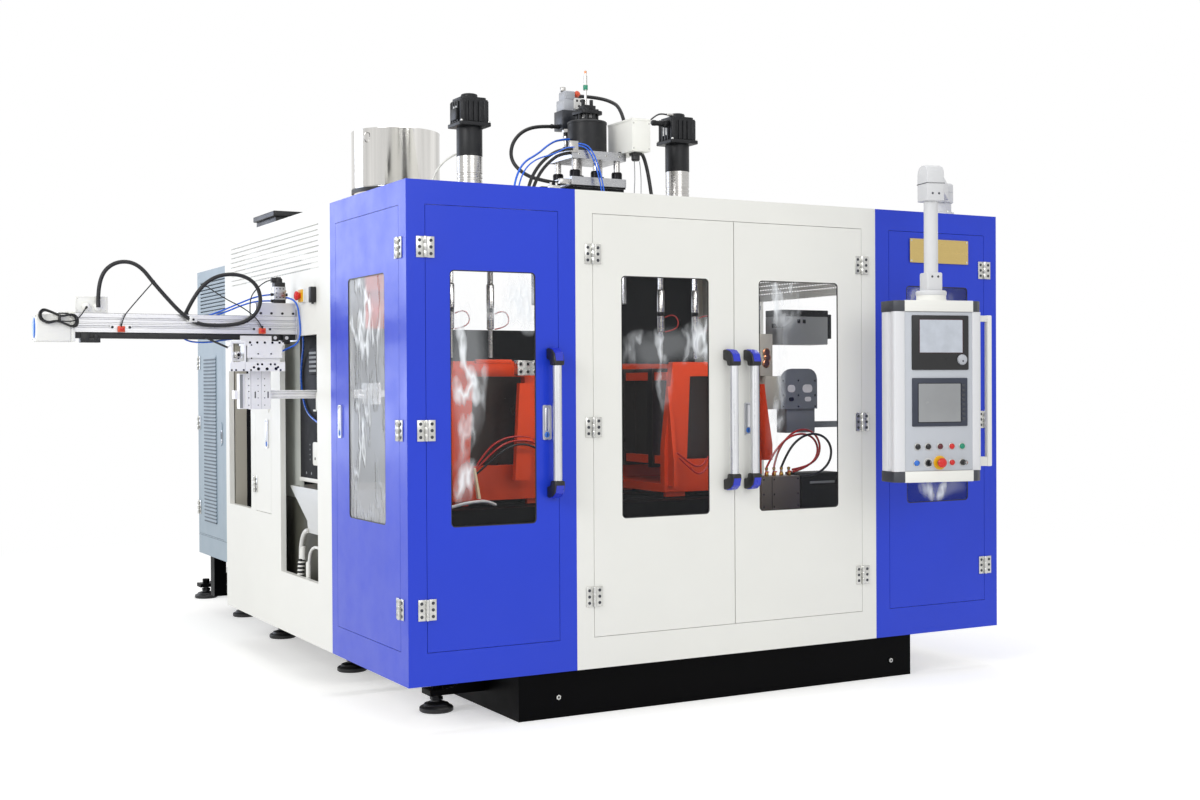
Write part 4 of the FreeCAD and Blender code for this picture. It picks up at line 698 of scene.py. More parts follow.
makeHandle("frontLeftHandle", -860.0, "front_left_door_body", "front_left_handle")
makeHandle("centreLeftHandle", -36.0, "centre_left_door_body", "centre_left_handle")
makeHandle("centreRightHandle", 66.0, "centre_right_door_body", "centre_right_handle")
makeLock("frontLeftLock", -882.0, 1173.0, onFront, "front_left_door_body")
makeLock("centreRightLock", 66.0, 1173.0, onFront, "centre_right_door_body")
makeLock("sideLock", -650.0, 1173.0, onLeft, "side_door_body")
makeLock("hatchLock", 400.0, 1095.0, onLeft, "side_hatch_body")
print("hinges, handles and locks made")


# windows: body, left and right of the hole across its wall, wall, node, film
windows = {
    "frontLeftPane": ("front_left_door_body", -1287.0, -926.0, onFront, "front_left_window", "leftFilmAndGlare"),
    "frontRightPane": ("front_right_door_body", 926.0, 1287.0, onFront, "front_right_window", "rightFilm"),
    "sidePane": ("side_door_body", -1160.5, -745.5, onLeft, "side_window", "sideFilmAndReflection"),
    "centreLeftPane": ("centre_left_door_body", -542.5, -125.5, onFront, "centre_left_window",
        "centreLeftFilmAndGlare"),
    "centreRightPane": ("centre_right_door_body", 125.5, 542.5, onFront, "centre_right_window",
        "centreRightFilm"),
}
paneShape = {"low": 781.0, "high": 1756.0, "lap": 18.0, "face": 3.2, "ripple": 1.3}


def makePane(name, body, left, right, wall, node, film):
    lap, low, high = paneShape["lap"], paneShape["low"], paneShape["high"]
    piece = bmesh.new()
    sheet = bmesh.new()
    bmesh.ops.create_grid(sheet, x_segments=30, y_segments=60, size=0.5)
    wide, tall = right - left + 2 * lap, high - low + 2 * lap
    stand = Matrix(((wide, 0, 0, (left + right) / 2), (0, 0, 1, paneShape["face"] + 1.6),
        (0, tall, 0, (low + high) / 2), (0, 0, 0, 1)))
    bmesh.ops.transform(sheet, matrix=stand, verts=sheet.verts)
    for vert in sheet.verts:
        x, z = vert.co.x, vert.co.z
        wave = math.sin(x / 61 + z / 143) + math.sin(z / 87 - x / 210) + 0.6 * math.sin((x + z) / 34)
        vert.co.y += paneShape["ripple"] * wave / 2.6
    bmesh.ops.recalc_face_normals(sheet, faces=sheet.faces)
    land(piece, sheet, 0, wall)
    finishPiece(name, piece, body, [film], [node], smooth=60)
    gasket = bmesh.new()
    land(gasket, framePart((left - 1, 0.4, low - 1), (right + 1, 3.6, high + 1), 5.0, corner=20), 0, wall)
    finishPiece(name + ".gasket", gasket, body, ["blackPlastic"])


for name, given in windows.items():
    makePane(name, *given)
print("windows made")


# pendant: its own drawing has the face to the front, u across, z up

pendant = {"x": 780.0, "y": -1720.0, "yaw": -12.0, "half": 205.0, "face": 159.0, "front": -65.0,
    "back": 65.0, "low": 903.0, "high": 1665.0, "cap": 46.0}
onPendant = put(pendant["x"], pendant["y"], 0, pendant["yaw"])


def slabPart(outline, low, high, edge, cuts=2):
    # outline is (x, y) seen from above
    part = grownPart([(x, y, low) for x, y in outline], (0, 0, high - low))
    roundOff(part, [e for e in part.edges if e.calc_face_angle() > 0.5], edge, cuts)
    return part


def mirroredOutline(half):
    return half + [(-x, y) for x, y in reversed(half)]


def makePendantBox():
    half, face, front, back = (pendant[k] for k in ("half", "face", "front", "back"))
    low, high, cap = pendant["low"], pendant["high"], pendant["cap"]
    piece = bmesh.new()
    # aluminium case: pillars with a round nose, two slots down each side
    rightSide = [(face, front + 14), (face, front + 1), (face + 2, front), (half - 18, front + 1.5),
        (half - 6, front + 5), (half, front + 13), (half, front + 32), (half - 3, front + 34),
        (half - 3, front + 40), (half - 8, front + 42), (half - 8, front + 62), (half - 3, front + 64),
        (half - 3, front + 72), (half, front + 74), (half, back - 16), (half - 5, back - 4),
        (half - 16, back)]
    land(piece, slabPart(mirroredOutline(rightSide), low + cap, high - cap, 0.7, 1), 0)
    # dark corner caps above and below, with the white covers between them
    cover = [(0, front - 3), (half - 26, front - 3), (half - 2, front + 14), (half + 1, front + 22),
        (half + 1, back - 8), (half - 12, back + 1.5)]
    for a, b in ((low, low + cap), (high - cap, high)):
        land(piece, slabPart(mirroredOutline(cover)[1:], a + 0.4, b, 3.0), 1)
        addBox(piece, 2, (-face - 2, front - 4.5, a - 0.2), (face + 2, front + 110, b + 0.6), 2.0)
    # C handle on the right
    for a, b in ((1580, 1606), (963, 1003)):
        addBox(piece, 2, (half - 8, front + 44, a), (half + 56, front + 62, b), 2.2)
    addBox(piece, 2, (half + 50, front + 40, 962), (half + 72, front + 66, 1607), 4.0, 3)
    # turning joint
    addTurned(piece, 2, [(0, high - 1), (66, high - 1), (66, high + 5), (62, high + 8), (62, 1689.5),
        (0, 1689.5)], steps=48)
    finishPiece("pendantCase", piece, "pendant_box_body", ["whiteAluminium", "darkPlastic", "whitePowder"],
        ["pendant_box"], place=onPendant)


def makeTerminals(piece, front):
    # upper: black bezel, pale screen with a thin dark red line, round knob
    addBox(piece, 1, (-127, front - 4, 1374), (139, front + 4, 1603), 2.0, 3, 5)
    land(piece, framePart((-94, front - 5.2, 1445), (111, front - 3.6, 1586), 1.6), 3)
    addBox(piece, 2, (-92, front - 4.6, 1447), (109, front - 3.8, 1584))
    addTurned(piece, 4, [(0, 9), (17, 8.6), (20.5, 6.5), (22, 3.5), (22.5, 0), (0, 0)],
        (107, front - 4, 1417), toFront, 40)
    addTurned(piece, 5, [(0, 0.6), (4, 0.6), (4, 0)], (107, front - 12.8, 1411), toFront, 16)
    addBox(piece, 6, (24, front - 4.5, 1417), (40, front - 3.9, 1425), 0, 2, 3)
    # lower: blue-black bezel, screen still under its crinkled film, a column of eight keys
    addBox(piece, 7, (-126, front - 4, 1137), (133, front + 4, 1340), 2.0, 3, 4)
    land(piece, framePart((-101, front - 5.0, 1153), (102, front - 3.7, 1319), 3.0), 6)
    addBox(piece, 8, (-98, front - 4.7, 1156), (99, front - 3.8, 1316))
    for step in range(8):
        z = 1308 - step * 20
        addBox(piece, 5, (106, front - 6.5, z - 6.5), (121, front - 3.8, z + 6.5), 1.2, 2)


# levels of the two rows of controls, and the places across of those that move
controls = {"upper": 1052.0, "lower": 984.0, "stop": 3.0, "knob": -52.0, "key": 110.0, "buttonStand": 9.0}


def makeButton(piece, u, z, cap, front):
    stand = controls["buttonStand"]
    addTurned(piece, 9, [(0, 2.5), (12.4, 2.5), (13.2, 3.4), (15, 2.6), (16, 0), (16, -1)], (u, front, z),
        toFront, 28)
    addTurned(piece, cap, [(0, stand), (8, stand), (10.6, stand - 1.4), (11.4, stand - 3), (11.6, 2)],
        (u, front, z), toFront, 28)


def makePendantFace():
    front = pendant["front"]
    skin = front + 2
    upper, lower, stop, knob, key = (controls[k] for k in ("upper", "lower", "stop", "knob", "key"))
    piece = bmesh.new()
    addBox(piece, 0, (-158.6, skin, 951), (158.6, front + 13.6, 1617), 0.5)
    makeTerminals(piece, front)
    for u, cap in ((-101, 6), (-52, 6), (4, 10), (59, 11), (108, 12)):
        makeButton(piece, u, upper, cap, skin)
    for u, cap in ((-106, 13), (60, 11)):
        makeButton(piece, u, lower, cap, skin)
    addTurned(piece, 14, [(13, 4), (26, 4), (29, 2), (29.5, 0), (13, 0)], (stop, skin, lower), toFront, 44)
    addTurned(piece, 1, [(0, 11), (8.5, 11), (8.5, -1)], (stop, skin, lower), toFront, 32)
    for u in (knob, key):
        addTurned(piece, 9, [(12.5, 3.5), (14.5, 3), (16, 0), (12.5, 0)], (u, skin, lower), toFront, 28)
    addTurned(piece, 15, [(17.5, 0.6), (20.5, 0.6), (20.5, 0), (17.5, 0)], (knob, skin, lower), toFront, 36)
    finishPiece("pendantFace", piece, "pendant_box_body",
        ["greyPanel", "blackPlastic", "screenGlass", "litRed", "greyPlastic", "darkPlastic", "blackGlass",
        "bezelBlue", "filmedScreen", "zincPlate", "litRed", "redPlastic", "greenPlastic", "keyBluePlastic",
        "yellowPlastic", "whitePlastic"], ["pendant_face"], place=onPendant)


def makeControls():
    front, z = pendant["front"], controls["lower"]
    stop = bmesh.new()
    # its hollow neck slides over the spindle on the face
    addTurned(stop, 0, [(0, 30), (9, 29.6), (16, 27.5), (20, 23), (20.4, 19), (18, 14), (12, 11), (10, 7),
        (9.2, 7), (9.2, 16), (0, 16)], (controls["stop"], front, z), toFront, 40)
    finishPiece("emergencyStop", stop, "emergency_stop_body", ["redPlastic"],
        ["emergency_stop"], place=onPendant)
    knob, u = bmesh.new(), controls["knob"]
    addTurned(knob, 0, [(0, 9), (11, 9), (13.2, 7.5), (13.8, 4), (13.8, 0), (0, 0)], (u, front, z), toFront,
        32)
    addBox(knob, 0, (u - 4, front - 22, z - 12), (u + 4, front - 8, z + 12), 2.4, 3)
    addBox(knob, 1, (u - 0.6, front - 22.4, z + 1), (u + 0.6, front - 21.6, z + 11))
    finishPiece("selectorKnob", knob, "selector_body", ["blackPlastic", "whitePlastic"],
        ["selector_switch"], place=onPendant)
    lock, u = bmesh.new(), controls["key"]
    addTurned(lock, 0, [(0, 10), (9, 10), (12, 8.6), (12.8, 5), (12.8, 0), (0, 0)], (u, front, z), toFront,
        32)
    addBox(lock, 1, (u - 1, front - 26, z - 5), (u + 1, front - 9, z + 5), 0.5)
    bow = turnedPart([(4, -1.1), (9.5, -1.1), (11.5, -0.5), (11.5, 0.5), (9.5, 1.1), (4, 1.1), (4, -1.1)],
        (0, 0, 0), (1, 0, 0), 28)
    land(lock, bow, 1, Matrix.Translation((u, front - 32, z)))
    finishPiece("keySwitch", lock, "key_body", ["blackPlastic", "zincPlate"], ["key_switch"],
        place=onPendant)


arm = {"low": 2162.0, "high": 2232.0, "half": 34.0, "postX": 1230.0, "postY": -1280.0}


def makePendantArm():
    piece = bmesh.new()
    hub = [(0, 2150.5), (50, 2150.5), (52.5, 2154), (52.5, 2196), (50.5, 2197.5), (52.5, 2199),
        (52.5, 2234), (47, 2239), (0, 2239)]
    addTurned(piece, 0, hub, (arm["postX"], arm["postY"], 0), steps=44)
    dx, dy = pendant["x"] - arm["postX"], pendant["y"] - arm["postY"]
    beam = boxPart((8, -arm["half"], arm["low"]), (math.hypot(dx, dy), arm["half"], arm["high"]), 5.0, 3)
    land(piece, beam, 0, put(arm["postX"], arm["postY"], 0, math.degrees(math.atan2(dy, dx))))
    # elbow cover: an upright cover with a rolled crown, split half way up
    sideLine = [(44, 2087), (44, 2196), (40, 2218), (28, 2233), (12, 2239), (-14, 2239), (-32, 2231),
        (-42, 2214), (-44, 2196), (-44, 2087)]
    cover = cutPart(sideLine, 80)
    roundOff(cover, [e for e in cover.edges if e.calc_face_angle() > 1.2], 4.0, 3)
    land(piece, cover, 0, onPendant @ Matrix(((0, 1, 0, -40), (1, 0, 0, 0), (0, 0, 1, 0), (0, 0, 0, 1))))
    land(piece, framePart((-41, -45.2, 2160), (41, 45.2, 2163.4), 0.9), 1, onPendant)
    for z, spots in ((2118, (-15, 15)), (1768, (-14, 14))):
        out = 44 if z > 2000 else 36.5
        for u in spots:
            addTurned(piece, 1, [(0, 1.2), (4.2, 1.0), (5.0, 0), (5.0, -1)], (u, -out, z), toFront, 14,
                place=onPendant)
    addBar(piece, 0, (pendant["x"], pendant["y"], 1760), (pendant["x"], pendant["y"], 2092), 29.5, 48)
    addBox(piece, 0, (-36, -36, 1708), (36, 36, 1786), 7.0, 4, place=onPendant)
    addTurned(piece, 0, [(0, 1690), (63.5, 1690), (64.5, 1692), (64.5, 1704), (60, 1709), (0, 1709)],
        (pendant["x"], pendant["y"], 0), steps=48)
    finishPiece("pendantArm", piece, "pendant_arm_body", ["armPaint", "darkPlastic"],
        ["pendant_arm"])


def makeRoofFittings():
    piece = bmesh.new()
    post = [(0, roof - 2), (58, roof - 2), (58.5, roof + 4), (56, roof + 16), (50, roof + 19),
        (44, roof + 21), (44, roof + 57), (41, roof + 60), (0, roof + 60)]
    addTurned(piece, 0, post, (arm["postX"], arm["postY"], 0), steps=48)
    for turn in range(6):
        angle = math.radians(60 * turn + 20)
        spot = (arm["postX"] + 50 * math.cos(angle), arm["postY"] + 50 * math.sin(angle), roof + 15)
        addBar(piece, 1, spot, (spot[0], spot[1], roof + 22), 5.5, 6, edge=0.8)
    # roof vent: dark duct under a lid with a raised rim
    low, high = (-1350.0, 620.0), (-1180.0, 950.0)
    addBox(piece, 2, (low[0], low[1], roof - 3), (high[0], high[1], roof + 66), 2.0)
    addBox(piece, 2, (low[0] - 14, low[1] - 14, roof + 66), (high[0] + 14, high[1] + 14, roof + 93), 5.0, 3)
    for row in range(4):
        z = roof + 14 + row * 12
        addBox(piece, 3, (low[0] - 0.8, low[1] + 20, z), (low[0] + 1, high[1] - 20, z + 5), 0.6)
    finishPiece("roofFittings", piece, "machine", ["armPaint", "zincPlate", "darkPaint", "blackPlastic"],
        ["roof_fittings"])


makePendantBox()
makePendantFace()
makeControls()
makePendantArm()
makeRoofFittings()
print("pendant made")


# blow units and the parison cylinder on the head

unit = {"x": 585.0, "corner": 71.0, "post": 58.0, "bars": (-26, 0, 26), "low": 2572.0, "crown": 2680.0}


def makeBlowUnit(piece, x, side):
    steel = [(0, 1990), (61, 1990), (61, 2300), (59, 2302), (59, 2310), (61, 2312), (61, 2322),
        (58.6, 2324), (58.6, 2332), (61, 2334), (61, 2415), (0, 2415)]
    addTurned(piece, 0, steel, (x, 0, 0), steps=56)
    addTurned(piece, 1, [(0, 2415), (61.6, 2415), (62.2, 2417), (62.2, 2548), (60, 2556), (0, 2556)],
        (x, 0, 0), steps=56)
    place = put(x, 0, 0)
    out, post, low = unit["corner"], unit["post"], unit["low"]
    addBox(piece, 1, (-82, -82, 2556), (82, 82, 2573), 2.2, 2, 16, "z", place=place)
    addBox(piece, 1, (-68, -68, low), (68, 68, 2682), 1.5, 2, 5, "z", place)
    for sx, sy in gridOf((-1, 1), (-1, 1)):
        addBar(piece, 1, (post * sx, post * sy, low), (post * sx, post * sy, 2676), 15.5, 20, 2, place)
        screwInto(piece, (x + out * sx, out * sy, 2573), upward, 6.5, 7, 3, 1)
    for shift in unit["bars"]:
        for sy in (-1, 1):
            y = sy * out
            addBox(piece, 1, (shift - 8, y - 4, 2576), (shift + 8, y + 4, 2674), 2.0, place=place)
            addBox(piece, 1, (y - 4, shift - 8, 2576), (y + 4, shift + 8, 2674), 2.0, place=place)
    addBox(piece, 1, (-66, -66, unit["crown"]), (66, 66, unit["crown"] + 12), 0, 2, 22, "z", place)
    addTurned(piece, 1, [(0, 2716), (30, 2716), (38, 2713), (40, 2709), (40, 2696), (47, 2692), (47, 2688)],
        (x, 0, 0), steps=48)
    addBox(piece, 2, (-74.6, -22, 2600), (-72.5, 22, 2652), 0.5, 1, 2, "x", place=place)
    if side < 0:
        addBox(piece, 1, (-84, -34, 2584), (-70, 30, 2640), 3.0, place=place)
    else:
        # plug on its left
        addBar(piece, 1, (-70, -20, 2656), (-98, -20, 2656), 19, 8, edge=1.5, place=place)
        addTurned(piece, 1, [(0, 0), (15, 0), (16, 4), (16, 22), (13, 26), (13, 44), (15, 47), (15, 62),
            (9, 70), (0, 70)], (-96, -20, 2656), toLeft, 28, place=place)
        addBar(piece, 0, (-50, -40, 2700), (-88, -40, 2700), 7.5, 12, edge=1, place=place)


def makeTopCylinders():
    piece = bmesh.new()
    makeBlowUnit(piece, -unit["x"], -1)
    makeBlowUnit(piece, unit["x"], 1)
    for side in (-1, 1):
        x = side * unit["x"]
        addBox(piece, 4, (x - 110, -290, 1964), (x + 110, 240, 1990), 1.5)
        addBox(piece, 4, (x - 110, -290, 1989), (x + 110, -276, 2083), 1.5)
        addBox(piece, 4, (x - 110, 226, 1989), (x + 110, 240, 2083), 1.5)
        addTurned(piece, 4, [(62, 2087.2), (92, 2087.2), (92, 2093), (88, 2096), (62, 2096)], (x, 0, 0),
            steps=48)
    y = -105.0
    body = [(0, 2452.2), (97, 2452.2), (98, 2456), (98, 2462), (96, 2465), (96, 2597), (98, 2599),
        (98, 2607), (94, 2611), (0, 2611)]
    addTurned(piece, 1, body, (0, y, 0), steps=64)
    addTurned(piece, 1, [(0, 2611), (52, 2611), (52, 2622), (47, 2626), (0, 2626)], (0, y, 0), steps=48)
    addBox(piece, 1, (-60, -60, 2645), (60, 60, 2663), 2.5, 2, 24, "z", place=put(0, y, 0, 8))
    for turn in range(8):
        angle = math.radians(45 * turn + 15)
        x0, y0 = 48 * math.cos(angle), y + 48 * math.sin(angle)
        addBar(piece, 1, (x0, y0, 2610), (x0, y0, 2646), 8.5, 16)
        screwInto(piece, (x0, y0, 2663), upward, 9.5, 11, 1, 5)
    addBox(piece, 1, (-30, -28, 2662), (34, 28, 2692), 3.0, 2, place=put(0, y, 0, 8))
    for x0 in (-22, 24):
        addBar(piece, 1, (x0, y, 2690), (x0, y, 2722), 9, 16, edge=1.2)
    rodLine = [(0, 2690), (6.5, 2690), (6.5, 2766), (11, 2768), (11, 2794), (9, 2796), (9, 2838), (5, 2842),
        (5, 2858), (0, 2862)]
    addTurned(piece, 0, rodLine, (-8, y, 0), steps=28)
    addTurned(piece, 6, [(11.3, 2769), (11.8, 2770), (11.8, 2791), (11.3, 2792)], (-8, y, 0), steps=28)
    addTurned(piece, 7, [(0, 2850), (6, 2850), (6.4, 2862), (0, 2864)], (-8, y, 0), steps=20)
    # servo valve: dark body, grey pilot with its socket, coupling below
    addBox(piece, 8, (-76, 11, 2590), (8, 103, 2686), 3.0)
    addBox(piece, 9, (-66, 14, 2686), (10, 99, 2742), 5.0)
    addBox(piece, 9, (-56, 20, 2741), (2, 92, 2786), 6.0, 3)
    addBox(piece, 10, (-12, 6, 2694), (40, 15, 2750), 2.0, 2, 8)
    for hx, hz in ((4, 2736), (26, 2736), (15, 2710)):
        addTurned(piece, 11, [(0, 0.4), (5.2, 0.4), (6.4, 0)], (hx, 6, hz), toFront, 18)
    addTurned(piece, 12, [(0, 0), (13, 0), (15, 4), (15, 20), (10, 24), (0, 24)], (16, 40, 2768),
        (0, -1, 0.5), 24)
    addBar(piece, 0, (-50, 56, 2786), (-50, 56, 2806), 15, 24, edge=2)
    for low, high, radius, look in ((2540, 2556, 18, 0), (2556, 2574, 13, 1), (2574, 2591, 20, 0),
            (2500, 2541, 12, 0), (2452, 2502, 17, 1)):
        addBar(piece, look, (-52, 20, low), (-52, 20, high), radius, 6 if radius == 20 else 24, edge=1)
    addBox(piece, 1, (-50, -34, 2452.2), (-6, 34, 2592), 2.0)
    # hose ends
    for spot, along in (((-76, 50, 2606), toLeft), ((8, 60, 2770), (1, 0, 0)), ((-150, -92, 2304), toLeft)):
        addTurned(piece, 1, [(0, -2), (12.5, -2), (12.5, 10), (10, 11), (10, 34), (11.5, 36), (11.5, 44),
            (9.2, 46)], spot, along, 24)
    finishPiece("topCylinders", piece, "machine", ["turnedSteel", "darkPaint", "whitePlastic", "zincPlate",
        "steelPaint", "blackGlass", "greenPlastic", "copper", "valveBlack", "greyPlastic", "whitePlastic",
        "blackPlastic", "orangePlastic"], ["top_cylinders"])


def makeHeadDress():
    # sleeves under the upper plate, jacket below the lower one, brackets and screws on the plates
    piece = bmesh.new()
    for x, y in gridOf((-116, 0, 116), (-193.5, -16.5)):
        addTurned(piece, 0, [(15, 2324.3), (26, 2324.3), (26, 2352), (23, 2359), (15, 2360)], (x, y, 0),
            steps=24)
        addTurned(piece, 1, [(14.3, 2360), (15.6, 2360), (15.6, 2412), (14.3, 2412)], (x, y, 0), steps=24)
    addBox(piece, 2, (-144, -217, 2103), (144, 60, 2276), 3.0)
    addBox(piece, 0, (-150, -222, 2276), (150, 60, 2283.5), 1.0)
    for x in (-110, -40, 40, 110):
        screwInto(piece, (x, -227.6, 2432), toFront, 6.0, 1.0, 3, 0)
    for x, y in gridOf((-128, 128), (-205, -5)):
        screwInto(piece, (x, y, 2452), upward, 8.0, 8.0, 0, 0)
    addBox(piece, 1, (-166, -236, 2438), (-118, -222, 2492), 1.5)
    addBox(piece, 1, (-206, -214, 2286), (-150.5, -186, 2312), 2.0)
    for x in (-250, -220):
        addBar(piece, 1, (x, -200, 2103), (x, -200, 2290), 6, 12)
    addBox(piece, 3, (-262, -214, 2262), (-206, -186, 2276), 2.0)
    finishPiece("headDress", piece, "machine", ["blackedSteel", "turnedSteel", "darkLining", "zincPlate"])


def makeSignalBox():
    piece = bmesh.new()
    addBox(piece, 0, (132, -320, 2452.4), (234, -80, 2608), 2.0, 2)
    addBox(piece, 0, (130, -322, 2600), (236, -78, 2612), 2.4, 2)
    addBox(piece, 0, (132.8, -320.6, 2458), (233.2, -319.4, 2596), 0.4)
    for x, z in gridOf((140, 226), (2466, 2588)):
        addTurned(piece, 1, [(0, 1.4), (3.4, 1.2), (4.4, 0), (4.4, -0.6)], (x, -320.6, z), toFront, 14)
    addTurned(piece, 2, [(0, 2412), (17, 2412), (21, 2418), (21, 2438), (24, 2440), (24, 2452.6),
        (0, 2452.6)], (182, -265, 0), steps=28)
    addBox(piece, 2, (160, -292, 2438), (206, -238, 2452.6), 3.0)
    finishPiece("signalBox", piece, "machine", ["whitePowder", "zincPlate", "blackPlastic"],
        ["signal_box"])


hopper = {"y": 2477.0, "low": 2544.0, "rim": 2935.5, "radius": 281.0}


def makeHopper():
    piece = bmesh.new()
    r, low, rim = hopper["radius"], hopper["low"], hopper["rim"]
    skin = [(80, low), (r - 16, low), (r - 12, low + 4), (r - 12, low + 26), (r - 2, low + 30),
        (r, low + 34), (r, rim - 10), (r + 1.5, rim - 7), (r + 1.5, rim - 2), (r, rim), (r - 3, rim),
        (r - 4, rim - 10), (r - 4, low + 20), (90, low + 6), (80, low + 6), (80, low)]
    addTurned(piece, 0, skin, (0, hopper["y"], 0), steps=96)
    addTurned(piece, 1, [(r - 15, low - 0.2), (r + 0.5, low - 0.2), (r + 0.5, low + 25),
        (r - 11, low + 25)], (0, hopper["y"], 0), steps=96)
    for side in (-1, 1):
        grip = turnedPart([(30, -3.5), (33, 0), (30, 3.5), (27, 0), (30, -3.5)], (0, 0, 0), upward, 40)
        bmesh.ops.bisect_plane(grip, geom=list(grip.verts) + list(grip.edges) + list(grip.faces),
            plane_co=(0, 0, 0), plane_no=toLeft, clear_outer=True)
        turn = Matrix.Rotation(math.radians(-150 if side < 0 else 30), 4, "Z")
        land(piece, grip, 0, Matrix.Translation((0, hopper["y"], rim - 60)) @ turn
            @ Matrix.Translation((r, 0, 0)) @ Matrix.Rotation(math.pi / 2, 4, "X"))
    # throat, neck and slide
    addBox(piece, 2, (-115, 2362, 2091), (115, 2592, 2326), 6.0)
    addBox(piece, 2, (-70, 2407, 2325), (70, 2547, low + 2), 3.0)
    addBox(piece, 3, (-110, 2382, low - 97), (110, 2572, low - 60), 2.0)
    for x, y in gridOf((-98, 98), (2376, 2578)):
        screwInto(piece, (x, y, 2326), upward, 9, 8, 3, 4)
    finishPiece("hopperBin", piece, "machine", ["hopperSteel", "blackPlastic", "orangeCast", "zincPlate",
        "blackedSteel"], ["hopper"])


makeTopCylinders()
makeHeadDress()
makeSignalBox()
makeHopper()
print("head, blow units and hopper made")


# take-out robot: drive, junction box, beam fittings, carriage and lift

robot = {"beamLeft": -2422.8, "wall": -1462.8, "face": -98.0, "low": 1551.0, "high": 1631.0,
    "cableBox": (-2420.8, -2290.8), "glands": (-2376.8, -2330.8), "glandLevel": 1655.0, "loops": 5,
    "hankMiddle": (-2487.0, 1603.0), "hankReach": 80.0}


def discOn(piece, spot, normal, radius, look, depth=0.5, sides=20):
    # flat disc just proud of a face: a hole seen from outside, drawn dark as painted shade, a plug or a dot
    # of paint
    spot, normal = Vector(spot), Vector(normal)
    addBar(piece, look, spot - normal * 1.5, spot + normal * depth, radius, sides)


def makeDriveBox():
    piece = bmesh.new()
    left, face = robot["beamLeft"], robot["face"]
    addBox(piece, 0, (left - 155, face - 8, 1510), (left - 17, -10, 1624), 5.0, 4)
    addBox(piece, 3, (left - 18, face - 5, 1513), (left - 15, -13, 1621), 1.0)
    addBox(piece, 0, (left - 15.5, face - 8, 1510), (left - 0.3, -10, 1624), 1.4)
    for y, z in gridOf((face - 2, -22), (1520, 1614)):
        screwInto(piece, (left - 155, y, z), toLeft, 4.2, 1.5, 3, 1)
    dome = turnedPart([(0, 7), (24, 5.6), (33, 3), (36, 0), (36, -1)], steps=40)
    land(piece, dome, 4, Matrix.Translation((left - 155, -58, 1567)) @ Matrix.Diagonal((1, 1, 1.25, 1))
        @ Matrix.Rotation(-math.pi / 2, 4, "Y"))
    # junction box with its lid to the front
    a, b = robot["cableBox"]
    addBox(piece, 0, (a, face + 4, 1631.3), (b, -32, 1699), 2.5, 3)
    addBox(piece, 0, (a - 1.5, face - 1, 1630.8), (b + 1.5, face + 6, 1700), 1.6)
    land(piece, framePart((a + 3, face - 2, 1635), (b - 3, face, 1696), 2.2), 0)
    for x, z in gridOf((a + 9, b - 9), (1641, 1690)):
        discOn(piece, (x, face - 1, z), toFront, 2.6, 3)
    addBox(piece, 0, (left - 60, face + 20, 1622), (left + 20, face + 60, 1636.3), 1.0)
    addBox(piece, 0, (left - 60, face + 20, 1620), (left - 20, face + 60, 1632), 1.0)
    for x in robot["glands"]:
        z = robot["glandLevel"]
        addTurned(piece, 0, [(0, 0), (17, 0), (17, 4), (15.5, 9), (11, 13), (7, 14), (0, 14)],
            (x, face - 1, z), toFront, 32)
        addTurned(piece, 3, [(17, 0), (19, 0), (19, 3), (17, 3.4)], (x, face - 1, z), toFront, 6)
    x, z = robot["glands"][1], robot["glandLevel"]
    addTurned(piece, 2, [(0, 0), (9.3, 0), (9.3, 14), (8.6, 17), (8.6, 26.5)], (x, face - 13, z - 1),
        upward, 24)
    addTurned(piece, 2, [(0, 0), (9.3, 0), (9.3, 9), (0, 12)], (x, face - 3, z + 1), toFront, 24)
    addTurned(piece, 2, [(0, 0), (5, 0), (4.4, 8), (3.2, 12), (0, 12)], (robot["glands"][0], face - 13, z),
        (-0.55, -0.5, -0.7), 20)
    finishPiece("driveBox", piece, "machine", ["whitePowder", "blackPlastic", "rubberHose", "zincPlate",
        "keyBluePlastic"], ["robot_drive"])


def hankRoute():
    # a tied hank: flat loops that draw together where the tie holds them
    midX, midZ = robot["hankMiddle"]
    spots = [(-2432, -103, 1622), (-2438, -110, 1622), (-2454, -114, 1619)]
    steps = 12
    for i in range(2, robot["loops"] * steps + 9):
        angle = 2 * math.pi * i / steps + 0.4
        loop = i / steps
        wander = 1.06 + 0.1 * math.sin(2.3 * loop + 1.0)
        reach = robot["hankReach"] - 5 + 6 * math.cos(1.9 * loop) - 3 * math.cos(angle)
        rise = 52.0 * wander * math.sqrt(math.cos(angle) ** 2 + 0.02)
        x = reach * math.cos(angle)
        spots.append((midX + x, -118 - 5 * math.sin(2.7 * loop), midZ - 0.17 * x + rise * math.sin(angle)
            + 2 + 2 * math.sin(loop)))
    spots += [(-2448, -126, 1592), (-2422, -127, 1598), (-2402, -125, 1619), (-2388, -121, 1641),
        (-2381, -116, 1650)]
    return spots


